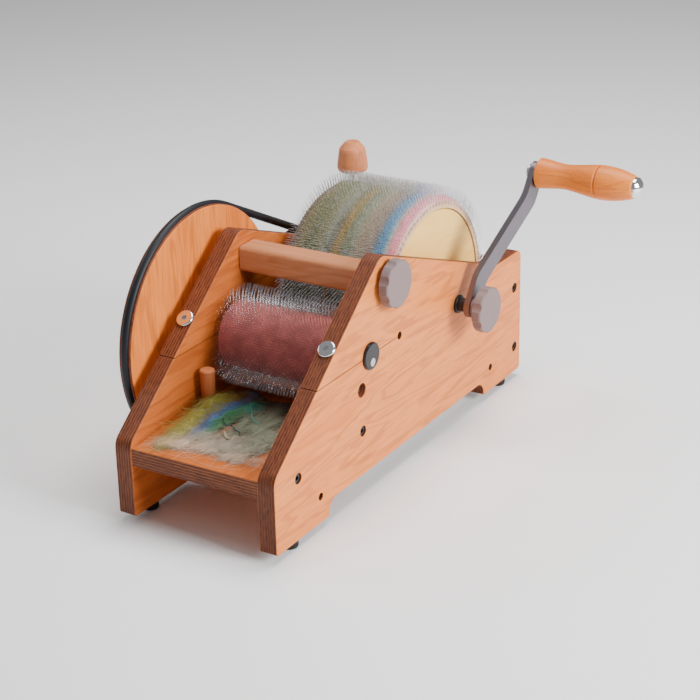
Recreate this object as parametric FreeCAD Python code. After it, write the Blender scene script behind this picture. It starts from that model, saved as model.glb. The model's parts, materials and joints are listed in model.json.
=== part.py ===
"""Table-top drum carder: every physical piece as its own solid.

Working frame while modelling, in millimetres: +X towards the crank, +Y towards the rear,
+Z up, X = 0 midway between the side panels, Y = 0 at the front of the legs and Z = 0 at
the underside of the legs.  Each solid is shifted when it is written, so that the row frame
has its origin at the middle of the bounding box, on the surface that the feet stand on.
"""
import FreeCAD, Part
import math
import os

V = FreeCAD.Vector
X_AXIS = V(1, 0, 0)

# Wooden frame
PLY = 18.0
FRAME_WIDTH = 172.5
FRAME_LENGTH = 472.5
OUTER_FACE = FRAME_WIDTH / 2
INNER_FACE = OUTER_FACE - PLY
MID_PLY = OUTER_FACE - PLY / 2
SLOPE_START_Z = 73.0
SLOPE_RATE = 0.79
PEAK_Y = 186.0
REAR_FLAT_Y = 418.0
REAR_TOP_Z = 134.5
LEG_LENGTH_FRONT = 87.0
LEG_LENGTH_REAR = 82.5
ARCH_HEIGHT = 15.5
ARCH_RADIUS = 13.2
PANEL_ARRIS = 0.7
FOOT_RADIUS = 8.0
FOOT_HEIGHT = 8.0
FOOT_INSET = 34.0
TRAY_TOP_Z = 69.0
TRAY_FRONT_Y = 1.0
TRAY_REAR_Y = 178.0
REAR_BOARD_Y = 452.5
REAR_BOARD_BOTTOM_Z = 8.0
REAR_BOARD_TOP_Z = 122.0
PEG_Y = 106.5
PEG_X = 57.0
PEG_HEIGHT = 39.5

# Screws and holes in the side panels, as (Y, Z)
SCREW_PLACES = ((37.8, 60.2), (148.7, 59.9), (458.0, 95.9), (459.4, 28.9))
PIN_HOLE_PLACES = ((73.5, 26.2), (404.6, 26.2))
PIN_HOLE_RADIUS = 3.75
SCREW_HEAD_RADIUS = 5.0
SCREW_SHANK_RADIUS = 2.2
SCREW_LENGTH = 40.0

# Split clamp in each side panel
KERF_Z = 130.0
KERF_HEIGHT = 0.8
KERF_END_Y = 218.0
KERF_HOLE_RADIUS = 4.0
CLAMP_HEAD_Y = 104.9
CLAMP_REACH = 69.5
CLAMP_SHANK_RADIUS = 3.0
CLAMP_HEAD_RADIUS = 8.5
CLAMP_HEAD_HEIGHT = 2.8
BARREL_NUT_RADIUS = 7.0
BARREL_NUT_LENGTH = 10.0

# Licker-in and its adjusting bushes
BUSH_Y = 163.5
BUSH_RADIUS = 12.0
BUSH_FLANGE_RADIUS = 13.25
BUSH_FLANGE = 3.0
ECCENTRICITY = 6.0
LICKER_Y = BUSH_Y
LICKER_Z = KERF_Z - ECCENTRICITY
LICKER_AXLE_RADIUS = 4.0
DRUM_HALF_WIDTH = 60.0
LICKER_CORE_RADIUS = 30.0
LICKER_CLOTH_RADIUS = 33.0
LICKER_TIP_RADIUS = 50.0

# Main drum
MAIN_Y = 333.5
MAIN_Z = 121.5
MAIN_AXLE_RADIUS = 5.0
MAIN_BUSH_RADIUS = 7.0
MAIN_FLANGE_RADIUS = 9.2
MAIN_HALF_WIDTH = 59.0
MAIN_DISC_RECESS = 1.0
MAIN_DISC_RADIUS = 91.5
MAIN_DISC_THICKNESS = 12.0
MAIN_SHELL_RADIUS = 95.0
MAIN_CLOTH_RADIUS = 98.0
MAIN_BATT_RADIUS = 101.0
MAIN_TIP_RADIUS = 114.0

# Belt drive on the left
WHEEL_RADIUS = 118.5
WHEEL_THICKNESS = 14.0
WHEEL_INNER_X = -97.5
WHEEL_MID_X = WHEEL_INNER_X - WHEEL_THICKNESS / 2
WHEEL_OUTER_X = WHEEL_INNER_X - WHEEL_THICKNESS
BELT_RADIUS = 4.0
BELT_GAP = 0.3
BELT_RUN_WHEEL = 117.5
BELT_RUN_PULLEY = 43.5
PULLEY_RADIUS = 45.5
WASHER_THICKNESS = 1.5
NUT_HEIGHT = 6.5
LEFT_END_X = WHEEL_OUTER_X - WASHER_THICKNESS - NUT_HEIGHT - 1.5

# Crank
CRANK_LEAN = math.degrees(math.atan2(0.60, 0.80))
CRANK_RADIUS = 146.0
ARM_WIDTH = 22.0
ARM_THICKNESS = 6.0
ARM_ROOT_X = 98.0
ARM_TIP_X = 124.0
ARM_BEND_START = 32.0
ARM_BEND_END = 118.0
HANDLE_START_X = ARM_TIP_X + ARM_THICKNESS + 0.6
HANDLE_END_X = 232.3
CAP_END_X = 240.5
SPINDLE_RADIUS = 3.2
KNOB_RADIUS = 23.0
KNOB_RIM = 10.0
KNOB_LOBES = 8
CRANK_KNOB_X = 112.75

# Brush bar above the drums
BRUSH_Y = 196.0
BRUSH_Z = 191.5
BAR_DEPTH = 28.0
BAR_HEIGHT = 25.0
BAR_HALF_WIDTH = 67.5
BAR_EDGE = 4.0
BRUSH_STUD_RADIUS = 3.0
BRISTLE_WIDTH = 11.0
BRISTLE_ROOT = 6.0
BRISTLE_GAP = 0.6

# Doffer rod standing in the left panel
DOFFER_Y = 407.0
DOFFER_ROD_RADIUS = 2.5
DOFFER_ROD_BOTTOM_Z = 92.0
DOFFER_HOLE_BOTTOM_Z = 91.7
DOFFER_HANDLE_BOTTOM_Z = 214.5
DOFFER_HANDLE_TOP_Z = 246.0
DOFFER_HANDLE_RADIUS = 16.0

# Fits
RUN_FIT = 0.05
LOOSE_FIT = 0.08
FACE_GAP = 0.1
FIBRE_TOP_Z = 73.4

ROW_ORIGIN = V((LEFT_END_X + CAP_END_X) / 2, FRAME_LENGTH / 2, -FOOT_HEIGHT)


def cylinder_x(y, z, radius, x0, x1):
    """Cylinder along X between two X positions."""
    low = min(x0, x1)
    return Part.makeCylinder(radius, abs(x1 - x0), V(low, y, z), X_AXIS)


def tube_x(y, z, inner, outer, x0, x1):
    """Tube along X."""
    return cylinder_x(y, z, outer, x0, x1).cut(cylinder_x(y, z, inner, x0, x1))


def rounded_wire(corners, place):
    """Closed wire from corners (a, b, radius); place(a, b) gives the point in space."""
    count = len(corners)
    starts, ends, middles = [], [], []
    for i, (a, b, radius) in enumerate(corners):
        before = corners[i - 1]
        after = corners[(i + 1) % count]
        corner = V(a, b, 0)
        to_before = (V(before[0], before[1], 0) - corner).normalize()
        to_after = (V(after[0], after[1], 0) - corner).normalize()
        if radius <= 0:
            starts.append(corner)
            ends.append(corner)
            middles.append(None)
            continue
        half = to_before.getAngle(to_after) / 2
        setback = radius / math.tan(half)
        bisector = (to_before + to_after).normalize()
        centre = corner + bisector * (radius / math.sin(half))
        starts.append(corner + to_before * setback)
        ends.append(corner + to_after * setback)
        middles.append(centre - bisector * radius)
    edges = []
    for i in range(count):
        if middles[i] is not None:
            arc_points = [place(p.x, p.y) for p in (starts[i], middles[i], ends[i])]
            edges.append(Part.Arc(*arc_points).toShape())
        a = ends[i]
        b = starts[(i + 1) % count]
        if (b - a).Length > 1e-6:
            edges.append(Part.LineSegment(place(a.x, a.y), place(b.x, b.y)).toShape())
    return Part.Wire(edges)


def plate_x(corners, x0, x1):
    """Plate whose outline lies in the YZ plane, between two X positions."""
    wire = rounded_wire(corners, lambda y, z: V(x0, y, z))
    return Part.Face(wire).extrude(V(x1 - x0, 0, 0))


def turned_x(profile, y, z):
    """Solid of revolution about an axis along X; profile is a list of (x, radius)."""
    points = [V(x, y, z + radius) for x, radius in profile]
    first = V(profile[0][0], y, z)
    last = V(profile[-1][0], y, z)
    wire = Part.makePolygon([first] + points + [last, first])
    return Part.Face(wire).revolve(V(0, y, z), X_AXIS, 360)


def turned_z(profile, x, y):
    """Solid of revolution about a vertical axis; profile is a list of (z, radius)."""
    points = [V(x + radius, y, z) for z, radius in profile]
    first = V(x, y, profile[0][0])
    last = V(x, y, profile[-1][0])
    wire = Part.makePolygon([first] + points + [last, first])
    return Part.Face(wire).revolve(V(x, y, 0), V(0, 0, 1), 360)


def hex_prism(across_flats, height, base, direction):
    """Hexagonal prism that grows from base along direction."""
    radius = across_flats / 2 / math.cos(math.pi / 6)
    corners = [V(radius * math.cos(math.pi * k / 3), radius * math.sin(math.pi * k / 3), 0) for k in range(7)]
    prism = Part.Face(Part.makePolygon(corners)).extrude(V(0, 0, height))
    prism.Placement = FreeCAD.Placement(base, FreeCAD.Rotation(V(0, 0, 1), direction))
    return prism


def torus_x(y, z, major, minor, x):
    """Ring of round section about an axis along X."""
    return Part.makeTorus(major, minor, V(x, y, z), X_AXIS)


# --- Wooden frame -----------------------------------------------------------------------

SLOPE = V(0, 1, SLOPE_RATE).normalize()
INTO_PANEL = V(0, SLOPE.z, -SLOPE.y)


def clamp_head_point(side):
    """Middle of the clamp bolt's head, on the sloping edge of a panel."""
    return V(side * MID_PLY, CLAMP_HEAD_Y, SLOPE_START_Z + SLOPE_RATE * CLAMP_HEAD_Y)


def clamp_nut_point(side):
    """Middle of the barrel nut that the clamp bolt screws into."""
    return clamp_head_point(side) + INTO_PANEL * CLAMP_REACH


def panel_blank(side):
    """Side panel outline with softened edges, before any hole is made."""
    peak_z = SLOPE_START_Z + SLOPE_RATE * PEAK_Y
    arch_front = LEG_LENGTH_FRONT
    arch_rear = FRAME_LENGTH - LEG_LENGTH_REAR
    corners = [
        (0, 0, 3),
        (0, SLOPE_START_Z, 15),
        (PEAK_Y, peak_z, 15),
        (REAR_FLAT_Y, REAR_TOP_Z, 6),
        (FRAME_LENGTH, REAR_TOP_Z, 8),
        (FRAME_LENGTH, 0, 5),
        (arch_rear, 0, 2),
        (arch_rear, ARCH_HEIGHT, ARCH_RADIUS),
        (arch_front, ARCH_HEIGHT, ARCH_RADIUS),
        (arch_front, 0, 2),
    ]
    blank = plate_x(corners, side * INNER_FACE, side * OUTER_FACE)
    face_edges = [e for e in blank.Edges if e.BoundBox.XLength < 1e-6]
    return blank.makeFillet(PANEL_ARRIS, face_edges)


def foot_places():
    """The four (X, Y) places of the feet."""
    return [(side * MID_PLY, y) for side in (1, -1) for y in (FOOT_INSET, FRAME_LENGTH - FOOT_INSET)]


def side_panel(side):
    """One plywood side with its kerf, clamp holes, bush bores and screw holes."""
    panel = panel_blank(side)
    x0, x1 = side * (INNER_FACE - 1), side * (OUTER_FACE + 1)
    kerf = Part.makeBox(PLY + 2, KERF_END_Y, KERF_HEIGHT, V(min(x0, x1), 0, KERF_Z - KERF_HEIGHT / 2))
    tools = [
        kerf,
        cylinder_x(KERF_END_Y, KERF_Z, KERF_HOLE_RADIUS, x0, x1),
        cylinder_x(BUSH_Y, KERF_Z, BUSH_RADIUS + RUN_FIT, x0, x1),
        cylinder_x(MAIN_Y, MAIN_Z, MAIN_BUSH_RADIUS, x0, x1),
        cylinder_x(BRUSH_Y, BRUSH_Z, BRUSH_STUD_RADIUS + LOOSE_FIT, x0, x1),
    ]
    head = clamp_head_point(side)
    nut = clamp_nut_point(side)
    bolt_hole_radius = CLAMP_SHANK_RADIUS + 0.4
    tools.append(Part.makeCylinder(bolt_hole_radius, CLAMP_REACH + 14, head - INTO_PANEL * 4, INTO_PANEL))
    tools.append(cylinder_x(nut.y, nut.z, BARREL_NUT_RADIUS, x0, x1))
    for y, z in PIN_HOLE_PLACES:
        tools.append(cylinder_x(y, z, PIN_HOLE_RADIUS, x0, x1))
    for y, z in SCREW_PLACES:
        tools.append(cylinder_x(y, z, SCREW_SHANK_RADIUS, x0, x1))
        tools.append(cylinder_x(y, z, SCREW_HEAD_RADIUS + 0.4, side * (OUTER_FACE - 4.4), x1))
    for x, y in foot_places():
        tools.append(Part.makeCylinder(1.5, 16, V(x, y, -1)))
    if side < 0:
        depth = REAR_TOP_Z + 30 - DOFFER_HOLE_BOTTOM_Z
        hole_bottom = V(-MID_PLY, DOFFER_Y, DOFFER_HOLE_BOTTOM_Z)
        tools.append(Part.makeCylinder(DOFFER_ROD_RADIUS + LOOSE_FIT, depth, hole_bottom))
        tools.append(cylinder_x(BRUSH_Y, BRUSH_Z, 6.5, -(OUTER_FACE - 4), x1))
    for tool in tools:
        panel = panel.cut(tool)
    return panel


def screw_x(side, y, z):
    """Recessed socket screw that enters a panel's outer face."""
    head_x = side * (OUTER_FACE - 1.4)
    neck_x = side * (OUTER_FACE - 4.4)
    tip_x = side * (OUTER_FACE - SCREW_LENGTH)
    screw = cylinder_x(y, z, SCREW_HEAD_RADIUS, neck_x, head_x)
    screw = screw.fuse(cylinder_x(y, z, SCREW_SHANK_RADIUS, tip_x, neck_x))
    socket = hex_prism(4.0, 3.0, V(head_x, y, z), V(-side, 0, 0))
    return screw.cut(socket)


def feed_tray():
    """Flat board that the fibre is fed along."""
    tray = Part.makeBox(2 * INNER_FACE, TRAY_REAR_Y - TRAY_FRONT_Y, PLY,
                        V(-INNER_FACE, TRAY_FRONT_Y, TRAY_TOP_Z - PLY))
    front = [e for e in tray.Edges if e.BoundBox.YMax < TRAY_FRONT_Y + 0.01 and e.BoundBox.XLength > 50]
    tray = tray.makeFillet(1.2, front)
    for side in (1, -1):
        for y, z in SCREW_PLACES[:2]:
            tray = tray.cut(screw_x(side, y, z))
    for side in (1, -1):
        tray = tray.cut(Part.makeCylinder(4, 12, V(side * PEG_X, PEG_Y, TRAY_TOP_Z - 11)))
    return tray


def rear_board():
    """Board that ties the two sides together behind the main drum."""
    board = Part.makeBox(2 * INNER_FACE, PLY, REAR_BOARD_TOP_Z - REAR_BOARD_BOTTOM_Z,
                         V(-INNER_FACE, REAR_BOARD_Y, REAR_BOARD_BOTTOM_Z))
    long_edges = [e for e in board.Edges if e.BoundBox.XLength > 50]
    board = board.makeFillet(1.2, long_edges)
    for side in (1, -1):
        for y, z in SCREW_PLACES[2:]:
            board = board.cut(screw_x(side, y, z))
    return board


def guide_pegs():
    """Two tapered pegs that keep the fibre off the side panels."""
    pegs = []
    top = TRAY_TOP_Z + PEG_HEIGHT
    for side in (1, -1):
        profile = [(TRAY_TOP_Z - 10, 4), (TRAY_TOP_Z, 4), (TRAY_TOP_Z, 6.2), (top - 1, 7.3), (top, 6.4)]
        pegs.append(turned_z(profile, side * PEG_X, PEG_Y))
    return Part.makeCompound(pegs)


def rubber_feet():
    """Four rubber feet with a countersunk hole from below."""
    feet = []
    for x, y in foot_places():
        profile = [(-FOOT_HEIGHT, 6.2), (-FOOT_HEIGHT + 0.6, 7.2), (-FOOT_HEIGHT + 2.2, FOOT_RADIUS), (0, FOOT_RADIUS)]
        foot = turned_z(profile, x, y)
        well = turned_z([(-FOOT_HEIGHT, 3.4), (-3.5, 3.4), (-3.5, 1.6), (0, 1.6)], x, y)
        feet.append(foot.cut(well))
    return Part.makeCompound(feet)


def foot_screws():
    """Pan-head screws that hold the feet."""
    return Part.makeCompound([
        turned_z([(-5.5, 3.2), (-3.5, 3.2), (-3.5, 1.5), (12, 1.5)], x, y) for x, y in foot_places()
    ])


def frame_screws():
    """The eight screws that hold the tray and the rear board."""
    return Part.makeCompound([screw_x(side, y, z) for side in (1, -1) for y, z in SCREW_PLACES])


# --- Split clamps and adjusting bushes ---------------------------------------------------


def barrel_nuts():
    """Cross dowels that the clamp bolts screw into."""
    nuts = []
    for side in (1, -1):
        centre = clamp_nut_point(side)
        inner_end = side * (INNER_FACE + 2)
        nut = cylinder_x(centre.y, centre.z, BARREL_NUT_RADIUS, inner_end, inner_end + side * BARREL_NUT_LENGTH)
        bore = Part.makeCylinder(CLAMP_SHANK_RADIUS + RUN_FIT, 40, centre - INTO_PANEL * 20, INTO_PANEL)
        nuts.append(nut.cut(bore))
    return Part.makeCompound(nuts)


def clamp_bolt(side):
    """Flat-headed clamp bolt that pinches the kerf on the bush."""
    seat = clamp_head_point(side) - INTO_PANEL * FACE_GAP
    outward = INTO_PANEL * -1
    head = Part.makeCylinder(CLAMP_HEAD_RADIUS, CLAMP_HEAD_HEIGHT, seat, outward)
    rim = [e for e in head.Edges if e.BoundBox.XLength > CLAMP_HEAD_RADIUS]
    rim = [e for e in rim if (e.CenterOfMass - seat).dot(outward) > 1]
    head = head.makeFillet(1.6, rim)
    shank = Part.makeCylinder(CLAMP_SHANK_RADIUS, CLAMP_REACH + 8, seat, INTO_PANEL)
    socket = hex_prism(5.0, 3.0, seat + outward * (CLAMP_HEAD_HEIGHT + 0.2), INTO_PANEL)
    return head.fuse(shank).cut(socket)


def eccentric_bush(side):
    """Flanged bush whose bore sits off its middle, so turning it moves the licker-in."""
    flange_x = side * (OUTER_FACE + FACE_GAP)
    face_x = side * (OUTER_FACE + BUSH_FLANGE)
    body = cylinder_x(BUSH_Y, KERF_Z, BUSH_RADIUS, side * INNER_FACE, flange_x)
    flange = turned_x([
        (flange_x, BUSH_FLANGE_RADIUS),
        (face_x - side * 1.2, BUSH_FLANGE_RADIUS),
        (face_x - side * 0.35, BUSH_FLANGE_RADIUS - 0.45),
        (face_x, BUSH_FLANGE_RADIUS - 1.4),
    ], BUSH_Y, KERF_Z)
    bore = cylinder_x(LICKER_Y, LICKER_Z, LICKER_AXLE_RADIUS + RUN_FIT, side * (INNER_FACE - 1), face_x + side)
    return body.fuse(flange).cut(bore)


# --- Licker-in ---------------------------------------------------------------------------


def licker_axle():
    """Steel axle of the small drum, carrying the drive wheel on its left end."""
    return cylinder_x(LICKER_Y, LICKER_Z, LICKER_AXLE_RADIUS, LEFT_END_X, OUTER_FACE + BUSH_FLANGE + 0.2)


def licker_spacers():
    """Rings between the small drum and the panels."""
    return Part.makeCompound([
        tube_x(LICKER_Y, LICKER_Z, LICKER_AXLE_RADIUS, 9, side * DRUM_HALF_WIDTH, side * (INNER_FACE - 0.3))
        for side in (1, -1)
    ])


def belt_groove(y, z, run):
    """Cutter for a U-shaped groove, open outwards, that the round belt lies in."""
    width = BELT_RADIUS + BELT_GAP
    ring = torus_x(y, z, run, width, WHEEL_MID_X)
    return ring.fuse(tube_x(y, z, run, run + 10, WHEEL_MID_X - width, WHEEL_MID_X + width))


def drive_wheel():
    """Large plywood wheel with a round groove for the belt."""
    edge = 1.2
    wheel = turned_x([
        (WHEEL_INNER_X, WHEEL_RADIUS - edge),
        (WHEEL_INNER_X - edge, WHEEL_RADIUS),
        (WHEEL_OUTER_X + edge, WHEEL_RADIUS),
        (WHEEL_OUTER_X, WHEEL_RADIUS - edge),
    ], LICKER_Y, LICKER_Z)
    groove = belt_groove(LICKER_Y, LICKER_Z, BELT_RUN_WHEEL)
    bore = cylinder_x(LICKER_Y, LICKER_Z, LICKER_AXLE_RADIUS, WHEEL_OUTER_X - 1, WHEEL_INNER_X + 1)
    wheel = wheel.cut(groove).cut(bore)
    return wheel.cut(wheel_hub_screws())


def wheel_hub():
    """Flanged hub between the left bush and the drive wheel."""
    hub = turned_x([
        (-(OUTER_FACE + BUSH_FLANGE + 0.2), 9),
        (WHEEL_INNER_X + 3, 9),
        (WHEEL_INNER_X + 3, 20),
        (WHEEL_INNER_X, 20),
    ], LICKER_Y, LICKER_Z)
    bore = cylinder_x(LICKER_Y, LICKER_Z, LICKER_AXLE_RADIUS, WHEEL_INNER_X - 1, -OUTER_FACE)
    return hub.cut(bore).cut(wheel_hub_screws())


def wheel_hub_screws():
    """Three screws through the hub flange into the wheel."""
    screws = []
    for k in range(3):
        angle = math.radians(90 + 120 * k)
        y = LICKER_Y + 14.5 * math.cos(angle)
        z = LICKER_Z + 14.5 * math.sin(angle)
        head = cylinder_x(y, z, 3, WHEEL_INNER_X + 3, WHEEL_INNER_X + 4.5)
        screws.append(head.fuse(cylinder_x(y, z, 1.6, WHEEL_INNER_X - 9, WHEEL_INNER_X + 3)))
    return Part.makeCompound(screws)


def end_washer(y, z, bore, outer):
    """Washer on the outside of the wheel or the pulley."""
    return tube_x(y, z, bore, outer, WHEEL_OUTER_X, WHEEL_OUTER_X - WASHER_THICKNESS)


def end_nut(y, z, bore, across_flats):
    """Hexagon nut outside the washer, with turned-down corners."""
    start = WHEEL_OUTER_X - WASHER_THICKNESS
    corner = across_flats / 2 / math.cos(math.pi / 6)
    nut = hex_prism(across_flats, NUT_HEIGHT, V(start, y, z), V(-1, 0, 0))
    cone = turned_x([
        (start, corner + 0.1),
        (start - NUT_HEIGHT + 1.2, corner + 0.1),
        (start - NUT_HEIGHT, corner - 1.2),
    ], y, z)
    return nut.common(cone).cut(cylinder_x(y, z, bore, start + 1, start - NUT_HEIGHT - 1))


# --- Main drum ---------------------------------------------------------------------------


def main_bush(side):
    """Plain flanged bearing bush of the main axle."""
    body = cylinder_x(MAIN_Y, MAIN_Z, MAIN_BUSH_RADIUS, side * INNER_FACE, side * OUTER_FACE)
    face_x = side * (OUTER_FACE + BUSH_FLANGE)
    flange = turned_x([
        (side * OUTER_FACE, MAIN_FLANGE_RADIUS),
        (face_x - side * 0.8, MAIN_FLANGE_RADIUS),
        (face_x, MAIN_FLANGE_RADIUS - 0.8),
    ], MAIN_Y, MAIN_Z)
    bore = cylinder_x(MAIN_Y, MAIN_Z, MAIN_AXLE_RADIUS + RUN_FIT, side * (INNER_FACE - 1), face_x + side)
    return body.fuse(flange).cut(bore)


def axle_spacer(side):
    """Sleeve between a main bush and the part outside it."""
    far_x = ARM_ROOT_X if side > 0 else WHEEL_INNER_X
    return tube_x(MAIN_Y, MAIN_Z, MAIN_AXLE_RADIUS, 6.8, side * (OUTER_FACE + BUSH_FLANGE + 0.2), far_x)


def drum_end_disc(side):
    """Wooden disc that closes one end of the drum; a fine step runs round its edge."""
    outer_x = side * (MAIN_HALF_WIDTH - MAIN_DISC_RECESS)
    disc = turned_x([
        (outer_x - side * MAIN_DISC_THICKNESS, MAIN_DISC_RADIUS),
        (outer_x - side * 2, MAIN_DISC_RADIUS),
        (outer_x - side * 2, MAIN_DISC_RADIUS - 0.9),
        (outer_x - side * 0.5, MAIN_DISC_RADIUS - 0.9),
        (outer_x, MAIN_DISC_RADIUS - 1.4),
    ], MAIN_Y, MAIN_Z)
    return disc.cut(cylinder_x(MAIN_Y, MAIN_Z, MAIN_AXLE_RADIUS, outer_x + side, outer_x - side * 20))


def drum_collars():
    """Collars inside the drum that grip the axle."""
    inner = MAIN_HALF_WIDTH - MAIN_DISC_RECESS - MAIN_DISC_THICKNESS
    return Part.makeCompound([
        tube_x(MAIN_Y, MAIN_Z, MAIN_AXLE_RADIUS, 14, side * (inner - 12), side * inner) for side in (1, -1)
    ])


def drum_pulley():
    """Small grooved pulley on the left end of the main axle."""
    edge = 0.8
    pulley = turned_x([
        (WHEEL_INNER_X, PULLEY_RADIUS - edge),
        (WHEEL_INNER_X - edge, PULLEY_RADIUS),
        (WHEEL_OUTER_X + edge, PULLEY_RADIUS),
        (WHEEL_OUTER_X, PULLEY_RADIUS - edge),
    ], MAIN_Y, MAIN_Z)
    groove = belt_groove(MAIN_Y, MAIN_Z, BELT_RUN_PULLEY)
    return pulley.cut(groove).cut(cylinder_x(MAIN_Y, MAIN_Z, MAIN_AXLE_RADIUS, WHEEL_OUTER_X - 1, WHEEL_INNER_X + 1))


def drive_belt():
    """Open round belt: two tangent runs and the two stretches that wrap the wheels."""
    between = V(0, MAIN_Y - LICKER_Y, MAIN_Z - LICKER_Z)
    line_angle = math.atan2(between.z, between.y)
    wrap = math.acos((BELT_RUN_WHEEL - BELT_RUN_PULLEY) / between.Length)
    ends = {}
    for label, y, z, run in (("wheel", LICKER_Y, LICKER_Z, BELT_RUN_WHEEL), ("pulley", MAIN_Y, MAIN_Z, BELT_RUN_PULLEY)):
        for sign in (1, -1):
            angle = line_angle + sign * wrap
            ends[label, sign] = V(WHEEL_MID_X, y + run * math.cos(angle), z + run * math.sin(angle))

    def section(point, normal):
        return Part.Face(Part.Wire(Part.makeCircle(BELT_RADIUS, point, normal)))

    runs = []
    for sign in (1, -1):
        start = ends["wheel", sign]
        along = ends["pulley", sign] - start
        runs.append(section(start, along).extrude(along))
    top_run = ends["pulley", 1] - ends["wheel", 1]
    bottom_run = ends["wheel", -1] - ends["pulley", -1]
    around_wheel = section(ends["wheel", 1], top_run).revolve(
        V(WHEEL_MID_X, LICKER_Y, LICKER_Z), X_AXIS, 360 - 2 * math.degrees(wrap))
    around_pulley = section(ends["pulley", -1], bottom_run).revolve(
        V(WHEEL_MID_X, MAIN_Y, MAIN_Z), X_AXIS, 2 * math.degrees(wrap))
    belt = runs[0].fuse([runs[1], around_wheel, around_pulley])
    return belt


# --- Crank -------------------------------------------------------------------------------


def onto_crank(shape):
    """Move a shape made upright over the origin to the leaning crank."""
    shape.rotate(V(0, 0, 0), X_AXIS, -CRANK_LEAN)
    shape.translate(V(0, MAIN_Y, MAIN_Z))
    return shape


def crank_arm():
    """Flat bar, joggled outwards, with rounded ends and two holes."""
    half = ARM_WIDTH / 2
    foot, tip = -half, CRANK_RADIUS + half
    side_view = [
        (ARM_ROOT_X, foot, 0),
        (ARM_ROOT_X, ARM_BEND_START, 40),
        (ARM_TIP_X, ARM_BEND_END, 40 + ARM_THICKNESS),
        (ARM_TIP_X, tip, 0),
        (ARM_TIP_X + ARM_THICKNESS, tip, 0),
        (ARM_TIP_X + ARM_THICKNESS, ARM_BEND_END - 1, 40),
        (ARM_ROOT_X + ARM_THICKNESS, ARM_BEND_START - 1, 40 + ARM_THICKNESS),
        (ARM_ROOT_X + ARM_THICKNESS, foot, 0),
    ]
    wire = rounded_wire(side_view, lambda x, z: V(x, -half, z))
    bar = Part.Face(wire).extrude(V(0, ARM_WIDTH, 0))
    front_view = [(-half, foot, half - 0.01), (-half, tip, half - 0.01), (half, tip, half - 0.01), (half, foot, half - 0.01)]
    arm = bar.common(plate_x(front_view, ARM_ROOT_X - 2, ARM_TIP_X + ARM_THICKNESS + 2))
    arm = arm.cut(cylinder_x(0, 0, MAIN_AXLE_RADIUS, ARM_ROOT_X - 2, ARM_TIP_X))
    arm = arm.cut(cylinder_x(0, CRANK_RADIUS, SPINDLE_RADIUS, ARM_ROOT_X, ARM_TIP_X + 20))
    return onto_crank(arm)


def handle_spindle():
    """Bolt that the handle turns on; its head is behind the arm."""
    head = turned_x([
        (ARM_TIP_X - 5, 6.3),
        (ARM_TIP_X - 4, 7.5),
        (ARM_TIP_X, 7.5),
    ], 0, CRANK_RADIUS)
    return onto_crank(head.fuse(cylinder_x(0, CRANK_RADIUS, SPINDLE_RADIUS, ARM_TIP_X, CAP_END_X - 3)))


def handle_washer():
    """Thin washer between the arm and the handle."""
    start = ARM_TIP_X + ARM_THICKNESS
    return onto_crank(tube_x(0, CRANK_RADIUS, SPINDLE_RADIUS, 9, start, start + 0.5))


def spline_profile(points):
    """Smooth edge through (x, radius) points of the handle's outline."""
    curve = Part.BSplineCurve()
    curve.interpolate([V(x, 0, CRANK_RADIUS + radius) for x, radius in points])
    return curve.toShape()


def crank_handle():
    """Turned wooden grip with a waist, a swell and a ring groove."""
    groove_x = 195.0
    before = [(HANDLE_START_X + 1.2, 15.2), (142, 14.2), (157, 12.5), (174, 14.0), (groove_x - 1.5, 16.8)]
    after = [(groove_x + 1.5, 17.0), (210, 16.4), (222, 14.2), (HANDLE_END_X - 1.5, 11.6)]

    def at(x, radius):
        return V(x, 0, CRANK_RADIUS + radius)

    def line(a, b):
        return Part.LineSegment(a, b).toShape()

    start_centre, end_centre = at(HANDLE_START_X, 0), at(HANDLE_END_X, 0)
    edges = [
        line(start_centre, at(HANDLE_START_X, 14.0)),
        line(at(HANDLE_START_X, 14.0), at(*before[0])),
        spline_profile(before),
        line(at(*before[-1]), at(groove_x, 15.2)),
        line(at(groove_x, 15.2), at(*after[0])),
        spline_profile(after),
        line(at(*after[-1]), at(HANDLE_END_X, 10.4)),
        line(at(HANDLE_END_X, 10.4), end_centre),
        line(end_centre, start_centre),
    ]
    grip = Part.Face(Part.Wire(edges)).revolve(start_centre, X_AXIS, 360)
    bore = cylinder_x(0, CRANK_RADIUS, SPINDLE_RADIUS + RUN_FIT, HANDLE_START_X - 1, HANDLE_END_X + 1)
    return onto_crank(grip.cut(bore))


def handle_end_cap():
    """Domed nut with a blind bore that keeps the handle on its spindle."""
    base_x = HANDLE_END_X + 0.2
    rim = 10.2

    def at(x, radius):
        return V(x, 0, CRANK_RADIUS + radius)

    bore_x = CAP_END_X - 3
    corners = [
        at(CAP_END_X, 0.8),
        at(CAP_END_X, 0),
        at(bore_x, 0),
        at(bore_x, SPINDLE_RADIUS),
        at(base_x, SPINDLE_RADIUS),
        at(base_x, rim),
        at(base_x + 2.5, rim),
    ]
    edges = [Part.LineSegment(a, b).toShape() for a, b in zip(corners, corners[1:])]
    edges.append(Part.Arc(corners[-1], at(CAP_END_X - 1.9, rim * 0.62), corners[0]).toShape())
    return onto_crank(Part.Face(Part.Wire(edges)).revolve(at(base_x, 0), X_AXIS, 360))


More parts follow.
